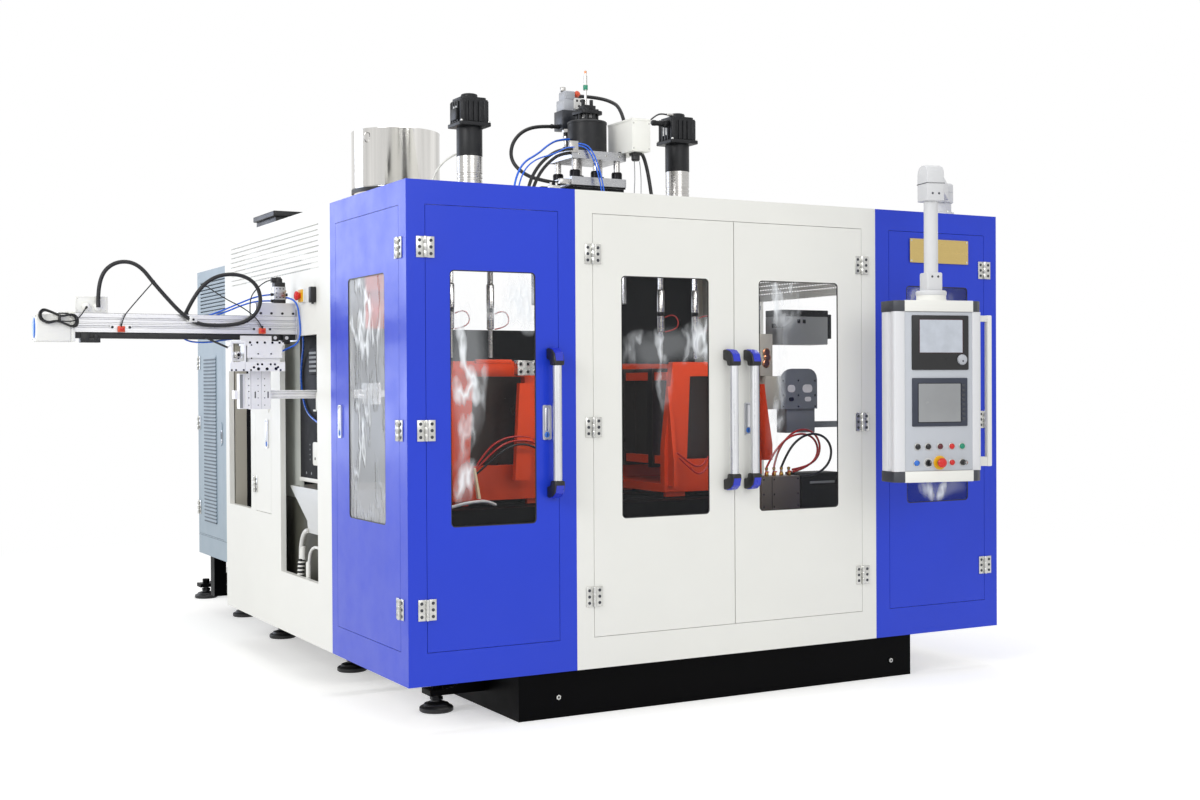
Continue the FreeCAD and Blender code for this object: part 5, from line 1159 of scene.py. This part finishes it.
def makeBeamFittings():
    piece = bmesh.new()
    left, wall, face, low, high = (robot[k] for k in ("beamLeft", "wall", "face", "low", "high"))
    # dark belt run under the beam, its stop, and the end covers of the profile
    addBox(piece, 1, (left + 3.6, face + 13.6, low - 25.3), (wall - 12.4, face + 66.4, low - 0.2), 0.8)
    addBox(piece, 1, (left + 24, face + 5, 1507.4), (left + 58, face + 51, low - 4), 1.2)
    addBox(piece, 1, (left + 57, face + 5, 1507.4), (left + 103.5, face + 51, 1527.2), 1.2)
    addBox(piece, 1, (left + 78, face + 3, 1520), (left + 92, face + 53, low - 6), 1.0)
    for x in (left + 34, left + 70, left + 88):
        discOn(piece, (x, face + 5, 1517), toFront, 3.2, 3)
    addBox(piece, 2, (left - 0.2, face + 1, low + 1), (left + 6, face + 79, high - 1), 1.0)
    for line in (low + 40.5, low + 34, high - 1.2):
        addBox(piece, 3, (left + 6, face - 0.25, line), (wall - 12, face + 1, line + 1.1))
    # sensors on silver straps
    for x in (-2236.5, -1633.0):
        addBox(piece, 2, (x - 46, face - 1.6, 1566), (x + 46, face + 1, 1579), 0.5, 1, 4)
        for side in (-1, 1):
            screwInto(piece, (x + side * 36, face - 1.6, 1572.5), toFront, 5.4, 5.5, 1, 3)
        addBox(piece, 4, (x - 14.5, face - 15, 1552), (x + 14.5, face - 1, 1577), 2.0, 3)
        addBox(piece, 5, (x - 8, face - 17, 1558), (x + 8, face - 14, 1571), 1.2)
        addBar(piece, 1, (x, face - 9, 1576), (x, face - 14, 1586), 3.6, 16)
    # white clamp on the front, with the cable through it
    addBox(piece, 6, (-1957, face - 31, 1597), (-1923, face - 0.2, 1619.5), 2.0, 3)
    addBox(piece, 2, (-1962, face - 3, 1594), (-1918, face - 0.1, 1622.5), 1.0)
    screwInto(piece, (-1940, face - 31, 1608.5), toFront, 5.2, 3.4, 1, 3)
    addTurned(piece, 1, [(8.6, -2), (13, -2), (13, 3), (11.5, 7), (8.6, 8)], (-1962, -84, 1631), upward, 24)
    # ties on the cable
    for spot in ((-2128, -126, 1750), (-1890, -128, 1760), (-1846, -118, 1584), (-1704, -122, 1600)):
        i = min(range(1, len(cableLine) - 1), key=lambda k: (cableLine[k] / mm - Vector(spot)).length)
        along = cableLine[i + 1] - cableLine[i - 1]
        addTurned(piece, 1, [(8.4, -3), (9.6, -3), (9.6, 3), (8.4, 3)], cableLine[i] / mm, along, 20)
    # bracket over the beam with its screws, and the dark motor end near the wall
    for x in (-1636, -1588, -1539, -1490):
        screwInto(piece, (x, face + 4, 1643), toFront, 5.6, 5.0, 1, 3)
    for x in (-1572, -1520):
        addBox(piece, 1, (x - 16, face + 2, 1508), (x + 16, face + 40, 1549), 1.5)
        discOn(piece, (x, face + 2, 1535), toFront, 8, 2)
    finishPiece("beamFittings", piece, "machine", ["blackedSteel", "blackPlastic", "satinAluminium",
        "blackGlass", "orangePlastic", "redPlastic", "whitePlastic"])


def makeCarriageDress():
    # holes and cap screws of the carriage, and its round damper
    piece = bmesh.new()
    face = -176.0
    for x in (-1708, -1676, -1643, -1609, -1577):
        screwInto(piece, (x, face, 1511), toFront, 5.4, 1.6, 0, 1)
    for x in (-1672, -1615):
        discOn(piece, (x, face, 1462), toFront, 3.6, 1)
    low = face - 16
    for x, z, r in ((-1679, 1416, 5), (-1660, 1416, 5), (-1622, 1416, 5), (-1603, 1416, 5),
            (-1696, 1403, 5.6), (-1676, 1396, 7), (-1638, 1396, 7), (-1598, 1397, 7), (-1589, 1404, 5)):
        discOn(piece, (x, low, z), toFront, r, 1)
    for x in (-1796, -1777, -1744, -1712, -1581):
        discOn(piece, (x + 3, low, 1391), toFront, 4.4, 1)
    for x, z in gridOf((-1771.5, -1713.5), (1442, 1500)):
        discOn(piece, (x + 12, face, z), toFront, 3.4, 1)
    addTurned(piece, 2, [(0, 0), (15.6, 0), (15.6, 6), (13, 8), (13, 11), (0, 12)],
        (-1758, face + 12, 1457), toFront, 32)
    addTurned(piece, 0, [(0, 2), (6, 1.6), (7, 0)], (-1758, face, 1457), toFront, 24)
    addBar(piece, 2, (-1758, face + 34, 1457), (-1736, face + 34, 1457), 5, 20)
    for x in (-1798.2, -1734.6):
        addBox(piece, 1, (x - 0.3, low - 0.3, 1387), (x + 0.3, low + 1, 1425))
    finishPiece("carriageDress", piece, "robot_carriage_body",
        ["blackedSteel", "blackGlass", "turnedSteel"])


def makeLiftDress():
    piece = bmesh.new()
    skin = -145.7
    for x, z in gridOf((-1706, -1665, -1636), (1353, 1324, 1298, 1270, 1238)):
        discOn(piece, (x, skin, z), toFront, 2.4, 0, 0.15, 12)
    for x in (-1678, -1621):
        addBox(piece, 0, (x - 2.6, skin - 0.3, 1268), (x + 2.6, skin + 2.2, 1298), 0, 2, 2.6 * 0.95)
    for x in (-1697, -1650):
        addBox(piece, 1, (x - 0.6, skin - 0.15, 1222), (x + 0.6, skin + 1, 1408))
    addBox(piece, 1, (-1745, skin + 1.4, 1226), (-1732, skin + 2.6, 1372))
    for z in (1272, 1296):
        addBox(piece, 1, (-1680, skin + 11.3, z - 0.8), (-1122, skin + 13, z + 0.8))
    finishPiece("liftDress", piece, "robot_lift_body", ["blackGlass", "steelPaint"])


def makeSideControls():
    piece = bmesh.new()
    wall = robot["wall"]
    # mushroom stop on a yellow plate
    addBox(piece, 0, (wall - 14, -202, 1690), (wall - 0.2, -134, 1748), 2.0)
    addBox(piece, 1, (wall - 18, -200, 1691), (wall - 13.5, -136, 1747), 1.0, 2, 6, "x")
    addTurned(piece, 2, [(0, 0), (13, 0), (13, 10), (17, 12), (20.5, 18), (20, 24), (14, 28), (0, 30)],
        (wall - 14, -168, 1719), toLeft, 36)
    # switch box: white body, dark end, lead underneath
    addBox(piece, 0, (wall - 26, -312, 1685), (wall - 0.2, -256, 1748), 2.5)
    addBox(piece, 3, (wall - 26, -342, 1682), (wall - 0.2, -311, 1750), 3.5)
    addBar(piece, 3, (wall - 12, -326, 1676), (wall - 12, -326, 1684), 5.5, 16, edge=0.8)
    # air valve: black base and top, bright body, coil with its plug
    x, y = wall - 84, -68.0
    addBox(piece, 3, (x - 26, y - 22, 1689.4), (x + 26, y + 22, 1705), 1.5)
    addBox(piece, 4, (x - 26, y - 22, 1704.5), (x + 26, y + 22, 1763), 2.0)
    addBox(piece, 3, (x - 24, y - 22.4, 1762.5), (x + 24, y + 20, 1781.4), 1.5)
    addTurned(piece, 3, [(0, 1781), (17, 1781), (17, 1797), (15, 1800), (11, 1801), (11, 1806), (0, 1807)],
        (x, y, 0), steps=28)
    addBox(piece, 3, (x - 34, y - 12, 1781.2), (x - 12, y + 10, 1803), 2.0)
    for shift, z in ((-15, 1715), (0, 1715), (15, 1715), (-15, 1734), (15, 1734), (-15, 1753), (0, 1753),
            (15, 1753)):
        discOn(piece, (x + shift, y - 22, z), toFront, 3.0, 3, 0.4, 14)
    for z in (1744, 1712):
        addBar(piece, 5, (x + 25, y, z), (x + 34, y, z), 6.0, 6, edge=0.8)
    addBar(piece, 3, (x + 25, y, 1728), (x + 40, y - 4, 1728), 7.0, 20, edge=1.0)
    for z in (1728, 1700):
        addBar(piece, 3, (x - 36, y, z), (x - 25, y, z), 6.4, 20, edge=1.0)
    finishPiece("sideControls", piece, "machine", ["whitePlastic", "yellowPlastic", "redPlastic",
        "blackPlastic", "millSteel", "brassTurned"], ["side_controls"])


def makeHankTie():
    piece = bmesh.new()
    midX, midZ = robot["hankMiddle"]
    addBox(piece, 0, (midX - 5, -128, midZ - 15), (midX + 5, -107, midZ + 18), 4.0, 3)
    finishPiece("hankTie", piece, "machine", ["blackPlastic"])


makeHankTie()
layCord("hankedCable", hankRoute(), 5, "rubberHose")
makeDriveBox()
makeBeamFittings()
makeCarriageDress()
makeLiftDress()
makeSideControls()
print("robot made")


# wall fittings: vent webs, louvre shadows, plate, latch, bolts

vents = {"rows": 9, "low": 1833.0, "pitch": 23.1, "start": -372.7, "end": 1017.0, "step": 24.6, "web": 8.6,
    "height": 6.4}


def makeVentWebs():
    # the pressed slits are short: webs break each long cut
    for name, mirror in (("leftVentWebs", 1), ("rightVentWebs", -1)):
        piece = bmesh.new()
        for row in range(vents["rows"]):
            z = vents["low"] + row * vents["pitch"]
            y = vents["start"] + 11.6 * (row % 2) + 16.0
            while y < vents["end"] + 11.6 * (row % 2):
                web = boxPart((-1462.3, y, z - vents["height"] / 2),
                    (-1459.7, y + vents["web"], z + vents["height"] / 2))
                land(piece, web, 0, Matrix.Diagonal((mirror, 1, 1, 1)))
                y += vents["step"]
        finishPiece(name, piece, "machine", ["whitePowder"])


def makeCabinetDress():
    wall = -1312.5
    piece = bmesh.new()
    for row in range(46):
        z = 550 + 20.7 * row
        addBox(piece, 0, (wall - 7.6, 1903, z - 1.5), (wall - 0.6, 2169, z + 6.5), 1.2, 1)
        # dark strip under each louvre lip: painted shadow
        addBox(piece, 1, (wall - 6.8, 1906, z - 9.5), (wall - 0.4, 2166, z - 1.2))
    addBox(piece, 2, (wall - 6, 1774, 1003), (wall - 0.2, 1794, 1076), 1.5, 2, 5, "x")
    addBox(piece, 1, (wall - 9, 1778, 1026), (wall - 5.5, 1790, 1070), 1.2, 2, 4, "x")
    discOn(piece, (wall - 6, 1784, 1014), toLeft, 5, 3)
    finishPiece("cabinetLouvres", piece, "cabinet_door_body",
        ["greyPowder", "darkGreyAndShadow", "uprightAluminium", "blackPlastic"])
    piece = bmesh.new()
    for row in range(11):
        z = 1712 + 20.7 * row
        addBox(piece, 0, (wall - 6.0, 1247, z + 5.5), (wall - 0.3, 2247, z + 8.6), 1.0, 1)
        # dark strip inside the wall behind each hood slot: painted shade
        addBox(piece, 1, (wall + 8, 1250, z - 1), (wall + 9, 2245, z + 9))
    addBox(piece, 1, (wall - 0.6, 1181, 452.4), (wall + 1, 2318, 454.4))
    finishPiece("cabinetHoods", piece, "machine", ["greyPowder", "darkGreyAndShadow"])


def makeSmallFittings():
    piece = bmesh.new()
    addBox(piece, 0, (944, front - 6.4, 1861), (1287, front - 4.9, 1969), 0.4, 1, 3)
    for x, z in gridOf((953, 1278), (1870, 1960)):
        addTurned(piece, 1, [(0, 1.8), (3.4, 1.4), (4.6, 0), (4.6, -0.5)], (x, front - 6.4, z), toFront, 16)
    finishPiece("namePlate", piece, "front_right_door_body", ["brassPlate", "zincPlate"])
    piece = bmesh.new()
    for x, z in ((-812, 82), (868, 74)):
        screwInto(piece, (x, -1338, z), toFront, 11, 8, 0, 1, 6)
    finishPiece("plinthBolts", piece, "machine", ["zincPlate", "blackPlastic"])


makeVentWebs()
makeCabinetDress()
makeSmallFittings()
print("wall fittings made")


# what shows through the windows and the left opening

inner = {"dome": (1020.0, 1250.0, 1190.0, 1398.0), "box": (1106.0, 1400.0, 1527.0, 1708.0),
    "manifold": ((730.0, 960.0), (-540.0, -420.3), (700.0, 862.0)), "fittings": (755, 800, 845, 890, 935),
    "pins": (-689.0, -481.0, 481.0, 689.0)}


def makeManifold():
    piece = bmesh.new()
    (x0, x1), (y0, y1), (z0, z1) = inner["manifold"]
    addBox(piece, 0, (x0, y0, z0), (x1, y1, z1), 2.0)
    addBox(piece, 3, (x0 + 60, y0 - 1.5, z0 + 2), (x0 + 62, y0 + 1, z1 - 2))
    for x, z in gridOf((x0 + 12, x0 + 74, x1 - 12), (z0 + 14, z0 + 75, z1 - 14)):
        discOn(piece, (x, y0, z), toFront, 4.0, 3)
    for x in inner["fittings"]:
        addBar(piece, 1, (x, -480, z1 - 1), (x, -480, z1 + 14), 10.5, 6, edge=1)
        addTurned(piece, 1, [(0, 0), (8, 0), (8, 6), (6.5, 7), (6.5, 18), (8, 19), (8, 28), (0, 30)],
            (x, -480, z1 + 13), steps=20)
        addTurned(piece, 2, [(5, 0), (6.6, 0), (6.6, 6), (5, 6)], (x, -480, z1 + 22), steps=16)
    for x in (775, 823, 912):
        addBar(piece, 1, (x, y0 + 22, z1 - 1), (x, y0 + 22, z1 + 22), 7, 6, edge=0.8)
        addBox(piece, 4, (x - 3, y0 + 4, z1 + 20), (x + 3, y0 + 30, z1 + 26), 1.2)
    finishPiece("waterManifold", piece, "machine",
        ["manifoldBrown", "brassTurned", "zincPlate", "blackGlass", "redPlastic"],
        ["water_manifold"])


def makeBehindRight():
    # grey cover with its two round-ended holes, dark housing above, block below
    piece = bmesh.new()
    left, right, low, high = inner["dome"]
    arch = [(left, low), (right, low)] + [(right - 55 * (1 - math.cos(a)), high - 55 + 55 * math.sin(a))
        for a in (0, 0.4, 0.8, 1.2, 1.57)]
    arch += [(left + 70 * (1 - math.cos(a)), high - 55 + 55 * math.sin(a))
        for a in (1.57, 1.2, 0.8, 0.4, 0)]
    plate = cutPart(arch, 6)
    land(piece, plate, 0, put(0, -300, 0))
    for x, z, w, h, look in ((1085, 1295, 24, 19, 2), (1187, 1295, 31, 21, 2), (1190, 1240, 20, 12, 2),
            (1085, 1240, 16, 10, 1)):
        addBox(piece, look, (x - w, -301.2, z - h), (x + w, -298, z + h), 0, 2, min(w, h) * 0.9)
    for x, z in gridOf((left + 14, right - 14, 1130), (low + 12, low + 70, high - 62)):
        discOn(piece, (x, -300, z), toFront, 5, 1)
    addBox(piece, 0, (1062, -290, 1066), (1242, -200, 1192), 3.0)
    left, right, low, high = inner["box"]
    addBox(piece, 3, (left, -200, high - 34), (right, -40, high), 3.0)
    addBox(piece, 4, (left, -196, low), (right, -40, high - 33), 3.0)
    for x in (left + 95, left + 130):
        addBox(piece, 1, (x, -198, high - 70), (x + 18, -195, high - 50), 0.5)
    addBox(piece, 3, (1048, -200, 1612), (1107, -180, 1634), 2.0)
    addBox(piece, 3, (1150, -300, 264), (1392, -150, 856), 3.0)
    addBox(piece, 4, (1200, -302, 800), (1360, -299, 812), 0.5)
    addBox(piece, 5, (950, -260, 1189), (1056, -170, 1360), 3.0)
    addBox(piece, 5, (925, -250, 1360), (1004, -170, 1577), 3.0)
    # arms to the side wall, and a conduit down from the roof
    addBox(piece, 3, (1398, -150, 1560), (1459, -100, 1690), 2.0)
    addBox(piece, 0, (1240, -250, 1090), (1459, -210, 1122), 2.0)
    addBar(piece, 3, (940, -215, 1576), (936, -215, 2086), 8, 20)
    for z in (1700, 1860):
        addBox(piece, 4, (926, -226, z), (950, -204, z + 22), 3.0)
    for x, z in ((962, 1482), (968, 1455), (960, 1425)):
        addTurned(piece, 6, [(0, 10), (16, 9), (22, 4), (22, 0)], (x, -251, z), toFront, 24)
    finishPiece("rightDrives", piece, "machine", ["coverGrey", "blackGlass", "whitePlastic", "darkLining",
        "steelPaint", "beigeInside", "copper"])


def makeClampDress():
    # six-hole block and rib of the left clamp, inclined leg of the right one
    piece = bmesh.new()
    addBox(piece, 0, (-536, -415, 1364), (-428, -375.4, 1433), 2.0)
    for x, z in gridOf((-520, -483, -446), (1381, 1416)):
        addTurned(piece, 1, [(7, 0.4), (12, 0.4), (13, 0), (7, 0)], (x, -415, z), toFront, 20)
        discOn(piece, (x, -415, z), toFront, 7, 2, 0.2)
    land(piece, cutPart([(-546, 883), (-470, 883), (-445, 1180), (-455, 1329), (-520, 1329)], 30), 3,
        put(0, -404, 0))
    addBox(piece, 3, (-735, -400, 1419), (-555, -375.4, 1437), 3.0)
    land(piece, cutPart([(-750, 946), (-742, 946), (-716, 805), (-728, 805)], 22), 4, put(0, -400, 0))
    finishPiece("leftClampDress", piece, "left_station",
        ["zincPlate", "turnedSteel", "blackGlass", "orangeCast", "creamSheet"])
    piece = bmesh.new()
    land(piece, cutPart([(866, 935), (914, 935), (914, 1014), (876, 1248), (866, 1319)], 60), 0,
        put(0, -372, 0))
    finishPiece("rightClampLeg", piece, "right_station", ["orangeCast"])


def makePinCollars():
    for body, spots in (("left_pins", inner["pins"][:2]), ("right_pins", inner["pins"][2:])):
        piece = bmesh.new()
        for x in spots:
            addTurned(piece, 0, [(14.2, 1690), (19, 1692), (19, 1800), (17, 1806), (14.2, 1808)], (x, 0, 0),
                steps=28)
            addTurned(piece, 1, [(14.2, 1672), (17.5, 1673), (17.5, 1690), (14.2, 1691)], (x, 0, 0),
                steps=28)
            addTurned(piece, 0, [(14.2, 1590), (17.5, 1592), (17.5, 1671), (14.2, 1672)], (x, 0, 0),
                steps=28)
        finishPiece(body + ".collars", piece, body, ["turnedSteel", "blackedSteel"])


def makeLeftInside():
    # dark column with its housing and brackets, pale plate beside it, and the drain sleeves below
    piece = bmesh.new()
    addBox(piece, 0, (-1400, -146, 1372), (-1330, -36, 1489), 3.0)
    for row in range(5):
        addBox(piece, 1, (-1401, -140, 1384 + 20 * row), (-1399, -42, 1394 + 20 * row), 0.5)
    addBox(piece, 0, (-1392, -160, 903), (-1384, 118, 1545), 1.0)
    addBox(piece, 3, (-1398, -160, 885), (-1384, 118, 903), 2.0)
    # lining plate: pale above 800 mm, and below that the same plate in dark olive, which is painted shade
    addBox(piece, 2, (-1384, 110, 800), (-1378, 480, 1545), 1.0)
    addBox(piece, 4, (-1384, -160, 262), (-1378, 480, 800), 1.0)
    addBox(piece, 3, (-1402, -160, 965), (-1394, -90, 1069), 1.0, 2, 14, "x")
    discOn(piece, (-1402, -124, 995), toLeft, 7, 0)
    addBox(piece, 3, (-1402, -150, 1207), (-1392, -100, 1215), 1.0)
    addBox(piece, 3, (-1402, -150, 1207), (-1392, -138, 1290), 1.0)
    for z in (988, 1010, 1033, 1055):
        discOn(piece, (-1392, -22, z), toLeft, 3.5, 1)
    for y in (-40, 30):
        discOn(piece, (-1392, y, 925), toLeft, 6, 1)
    ring = [(11, 0), (16, 0), (16, 4.5), (13.5, 5), (13.5, 8.5), (11, 9)]
    for step in range(9):
        z = 455 + 9 * step
        addTurned(piece, 3 if step % 2 else 0, ring, (-1430 + step * 0.55, 12 - step * 0.45, z), steps=24)
    addTurned(piece, 3, [(11, 530), (14, 532), (14, 590), (11, 594)], (-1425.3, 7.6, 0), (0.01, 0, 1), 24)
    addTurned(piece, 3, [(7, 440), (10.5, 442), (10.5, 528), (7, 534)], (-1428.5, -99, 0), upward, 24)
    finishPiece("leftInside", piece, "machine", ["darkLining", "steelPaint", "paleLining", "whitePowder",
        "paintedShadeOlive"])


innerHoses = {
    "archRed": (9, "redHose", "left_station", (-735, -394, 955), (-680, -400, 1035), (-607, -402, 1075),
        (-544, -402, 1086), (-461, -400, 1080), (-385, -396, 1040), (-350, -392, 985)),
    "archRedTwin": (9, "redHose", "left_station", (-737, -394, 938), (-668, -410, 1012), (-600, -412, 1056),
        (-536, -412, 1068), (-461, -410, 1062), (-392, -404, 1020), (-362, -394, 975)),
    "archBlack": (10, "rubberHose", "left_station", (-740, -394, 915), (-653, -420, 994),
        (-590, -422, 1037), (-526, -422, 1052), (-462, -420, 1040), (-400, -410, 1000), (-372, -395, 960)),
    "swagRed": (9, "redHose", "right_station", (336, -388, 985), (383, -398, 948), (441, -400, 912),
        (487, -398, 927), (524, -388, 972)),
    "swagRedLow": (9, "redHose", "right_station", (350, -386, 960), (400, -396, 912), (452, -402, 874),
        (500, -398, 902), (540, -386, 950)),
    "manifoldRed": (11, "redHose", "machine", (845, -480, 903), (862, -474, 955), (905, -466, 1020),
        (975, -458, 1075), (1055, -452, 1092), (1126, -448, 1066), (1160, -446, 1004), (1140, -450, 942),
        (1078, -458, 908), (1010, -466, 894), (962, -474, 889)),
    "manifoldRedTwin": (11, "redHose", "machine", (800, -480, 903), (824, -492, 960), (880, -492, 1022),
        (950, -488, 1062), (1035, -484, 1070), (1098, -480, 1040), (1122, -478, 985), (1098, -480, 932),
        (1040, -486, 902), (985, -488, 884), (958, -482, 878)),
    "manifoldBlack": (12, "rubberHose", "machine", (890, -480, 903), (905, -506, 972), (965, -510, 1040),
        (1050, -508, 1072), (1138, -504, 1056), (1188, -500, 1000), (1182, -500, 930), (1126, -504, 878),
        (1050, -508, 858), (985, -506, 862), (964, -494, 868)),
    "paleConduit": (14, "whiteHose", "machine", (-900, -434, 770), (-850, -470, 790), (-779, -480, 800),
        (-715, -470, 800), (-660, -434, 778)),
    "openingHose": (9, "blueHose", "machine", (-1434, -60, 1540), (-1412, 0, 1500), (-1402, 60, 1440),
        (-1400, 82, 1364), (-1400, 60, 1280), (-1400, 20, 1225), (-1402, -40, 1190), (-1404, -141, 1164),
        (-1412, -250, 1150), (-1432, -335, 1146)),
    "drainHose": (22, "whiteHose", "machine", (-1425, -92, 672), (-1425, -64, 672), (-1425, -16, 644),
        (-1425, 12, 596), (-1426, 12, 540), (-1430, 12, 470), (-1442, 14, 400)),
    "drainHoseSmall": (14, "whiteHose", "machine", (-1432, -335, 606), (-1427, -262, 607),
        (-1425, -170, 606), (-1425, -112, 576), (-1427, -102, 520), (-1430, -96, 455), (-1442, -94, 400)),
    "underBeamBlue": (7, "blueHose", "machine", (-1968, -60, 1531), (-1947, -60, 1514), (-1861, -60, 1512),
        (-1792, -60, 1524), (-1748, -60, 1529)),
    "underBeamBlack": (9, "rubberHose", "machine", (-1881, -100, 1532), (-1834, -118, 1509),
        (-1778, -120, 1484)),
}
for i, x in enumerate(inner["pins"]):
    innerHoses["pinHose" + str(i + 1)] = (6, "redHose", "left_pins" if x < 0 else "right_pins",
        (x + 18, -12, 1664), (x + 50, -34, 1684), (x + 80, -48, 1650), (x + 70, -44, 1600),
        (x + 16, -14, 1590))


makeManifold()
makeBehindRight()
makeClampDress()
makePinCollars()
makeLeftInside()
for name, (thick, look, body, *route) in innerHoses.items():
    layCord(name, route, thick, look, body)
print("inner pieces made")


# stage and light

studio = {"sky": 0.68, "key": 430.0, "fill": 155.0, "top": 190.0, "shine": 160.0, "work": 7.0,
    "floor": "e4e4e2", "lift": 0.42, "whiteFrom": 3.2, "whiteTo": 6.5}


def addLamp(name, power, size, place, target, shine=False):
    # a shine only shows in smooth surfaces and lights nothing
    lamp = bpy.data.lights.new(name, "AREA")
    lamp.energy = power
    lamp.shape = "RECTANGLE"
    lamp.size, lamp.size_y = size
    holder = bpy.data.objects.new(name, lamp)
    holder.location = place
    holder.rotation_euler = (Vector(target) - Vector(place)).to_track_quat("-Z", "Y").to_euler()
    holder.visible_diffuse = not shine
    if shine:
        lamp.color = fromHex("dbe6ff")[:3]
    bpy.context.scene.collection.objects.link(holder)


def seenDirectly(tree):
    # 1 where the camera looks straight, through clear sheet or by a mirror
    ray = tree.nodes.new("ShaderNodeLightPath")
    seen = ray.outputs["Is Camera Ray"]
    for kind in ("Is Transmission Ray", "Is Glossy Ray"):
        seen = combined(tree, "MAXIMUM", seen, ray.outputs[kind])
    return seen


def glowing(tree, strength):
    glow = tree.nodes.new("ShaderNodeEmission")
    glow.inputs["Strength"].default_value = strength
    return glow.outputs[0]


def addShader(tree, kind, *givens):
    joined = tree.nodes.new(kind)
    for slot, given in zip(joined.inputs, givens):
        tree.links.new(given, slot)
    return joined.outputs[0]


def makeStage():
    world = bpy.data.worlds.new("studio")
    world.use_nodes = True
    bpy.context.scene.world = world
    tree = world.node_tree
    base = tree.nodes["Background"]
    base.inputs["Color"].default_value = (1, 1, 1, 1)
    base.inputs["Strength"].default_value = studio["sky"]
    white = tree.nodes.new("ShaderNodeBackground")
    white.inputs["Color"].default_value = (1, 1, 1, 1)
    white.inputs["Strength"].default_value = 1.0
    pick = tree.nodes.new("ShaderNodeMixShader")
    tree.links.new(seenDirectly(tree), pick.inputs[0])
    tree.links.new(base.outputs[0], pick.inputs[1])
    tree.links.new(white.outputs[0], pick.inputs[2])
    tree.links.new(pick.outputs[0], tree.nodes["World Output"].inputs["Surface"])

    bm = bmesh.new()
    bmesh.ops.create_grid(bm, x_segments=2, y_segments=2, size=60)
    mesh = bpy.data.meshes.new("floor")
    bm.to_mesh(mesh)
    bm.free()
    floor = bpy.data.objects.new("floor", mesh)
    bpy.context.scene.collection.objects.link(floor)
    tree, shader, spread = newFinish("floorPaint")
    pale = fromHex(studio["floor"])
    tree.links.new(blended(tree, ranged(tree, addNoise(tree, spread, 0.7), 0, 1),
        [c * 0.985 for c in pale[:3]] + [1], pale), shader.inputs["Base Color"])
    shader.inputs["Roughness"].default_value = 0.9
    # the camera sees the lit floor lifted to white, and plain white farther out; its shadow stays
    lifted = addShader(tree, "ShaderNodeAddShader", shader.outputs[0], glowing(tree, studio["lift"]))
    where = tree.nodes.new("ShaderNodeVectorMath")
    where.operation = "LENGTH"
    tree.links.new(spread.outputs["Vector"], where.inputs[0])
    farOut = ranged(tree, where.outputs["Value"], 0, 1, studio["whiteFrom"], studio["whiteTo"])
    shown = addShader(tree, "ShaderNodeMixShader", farOut, lifted, glowing(tree, 1.0))
    both = addShader(tree, "ShaderNodeMixShader", seenDirectly(tree), shader.outputs[0], shown)
    tree.links.new(both, tree.nodes["Material Output"].inputs["Surface"])
    mesh.materials.append(finishes["floorPaint"])
    addLamp("keyLamp", studio["key"], (5, 4), (-9.5, -4.5, 5.5), (-0.6, 0.2, 1.1))
    addLamp("fillLamp", studio["fill"], (6, 4), (-0.6, -10.4, 4.5), (0.2, -0.5, 1.2))
    addLamp("topLamp", studio["top"], (6, 6), (0, 0.5, 8.5), (0, 0.5, 1))
    addLamp("sideShine", studio["shine"], (4.4, 4), (-5.2, 6.8, 2.6), (-1.4, -0.9, 1.6), True)
    # a worklight under the roof, over each clamp
    for side in (-1, 1):
        addLamp("workLight" + ("Left" if side < 0 else "Right"), studio["work"], (0.7, 0.3),
            (side * 0.55, -0.95, 2.03), (side * 0.5, -0.3, 1.0))


makeStage()
bpy.context.scene.view_settings.view_transform = "Standard"

print("scene ready")
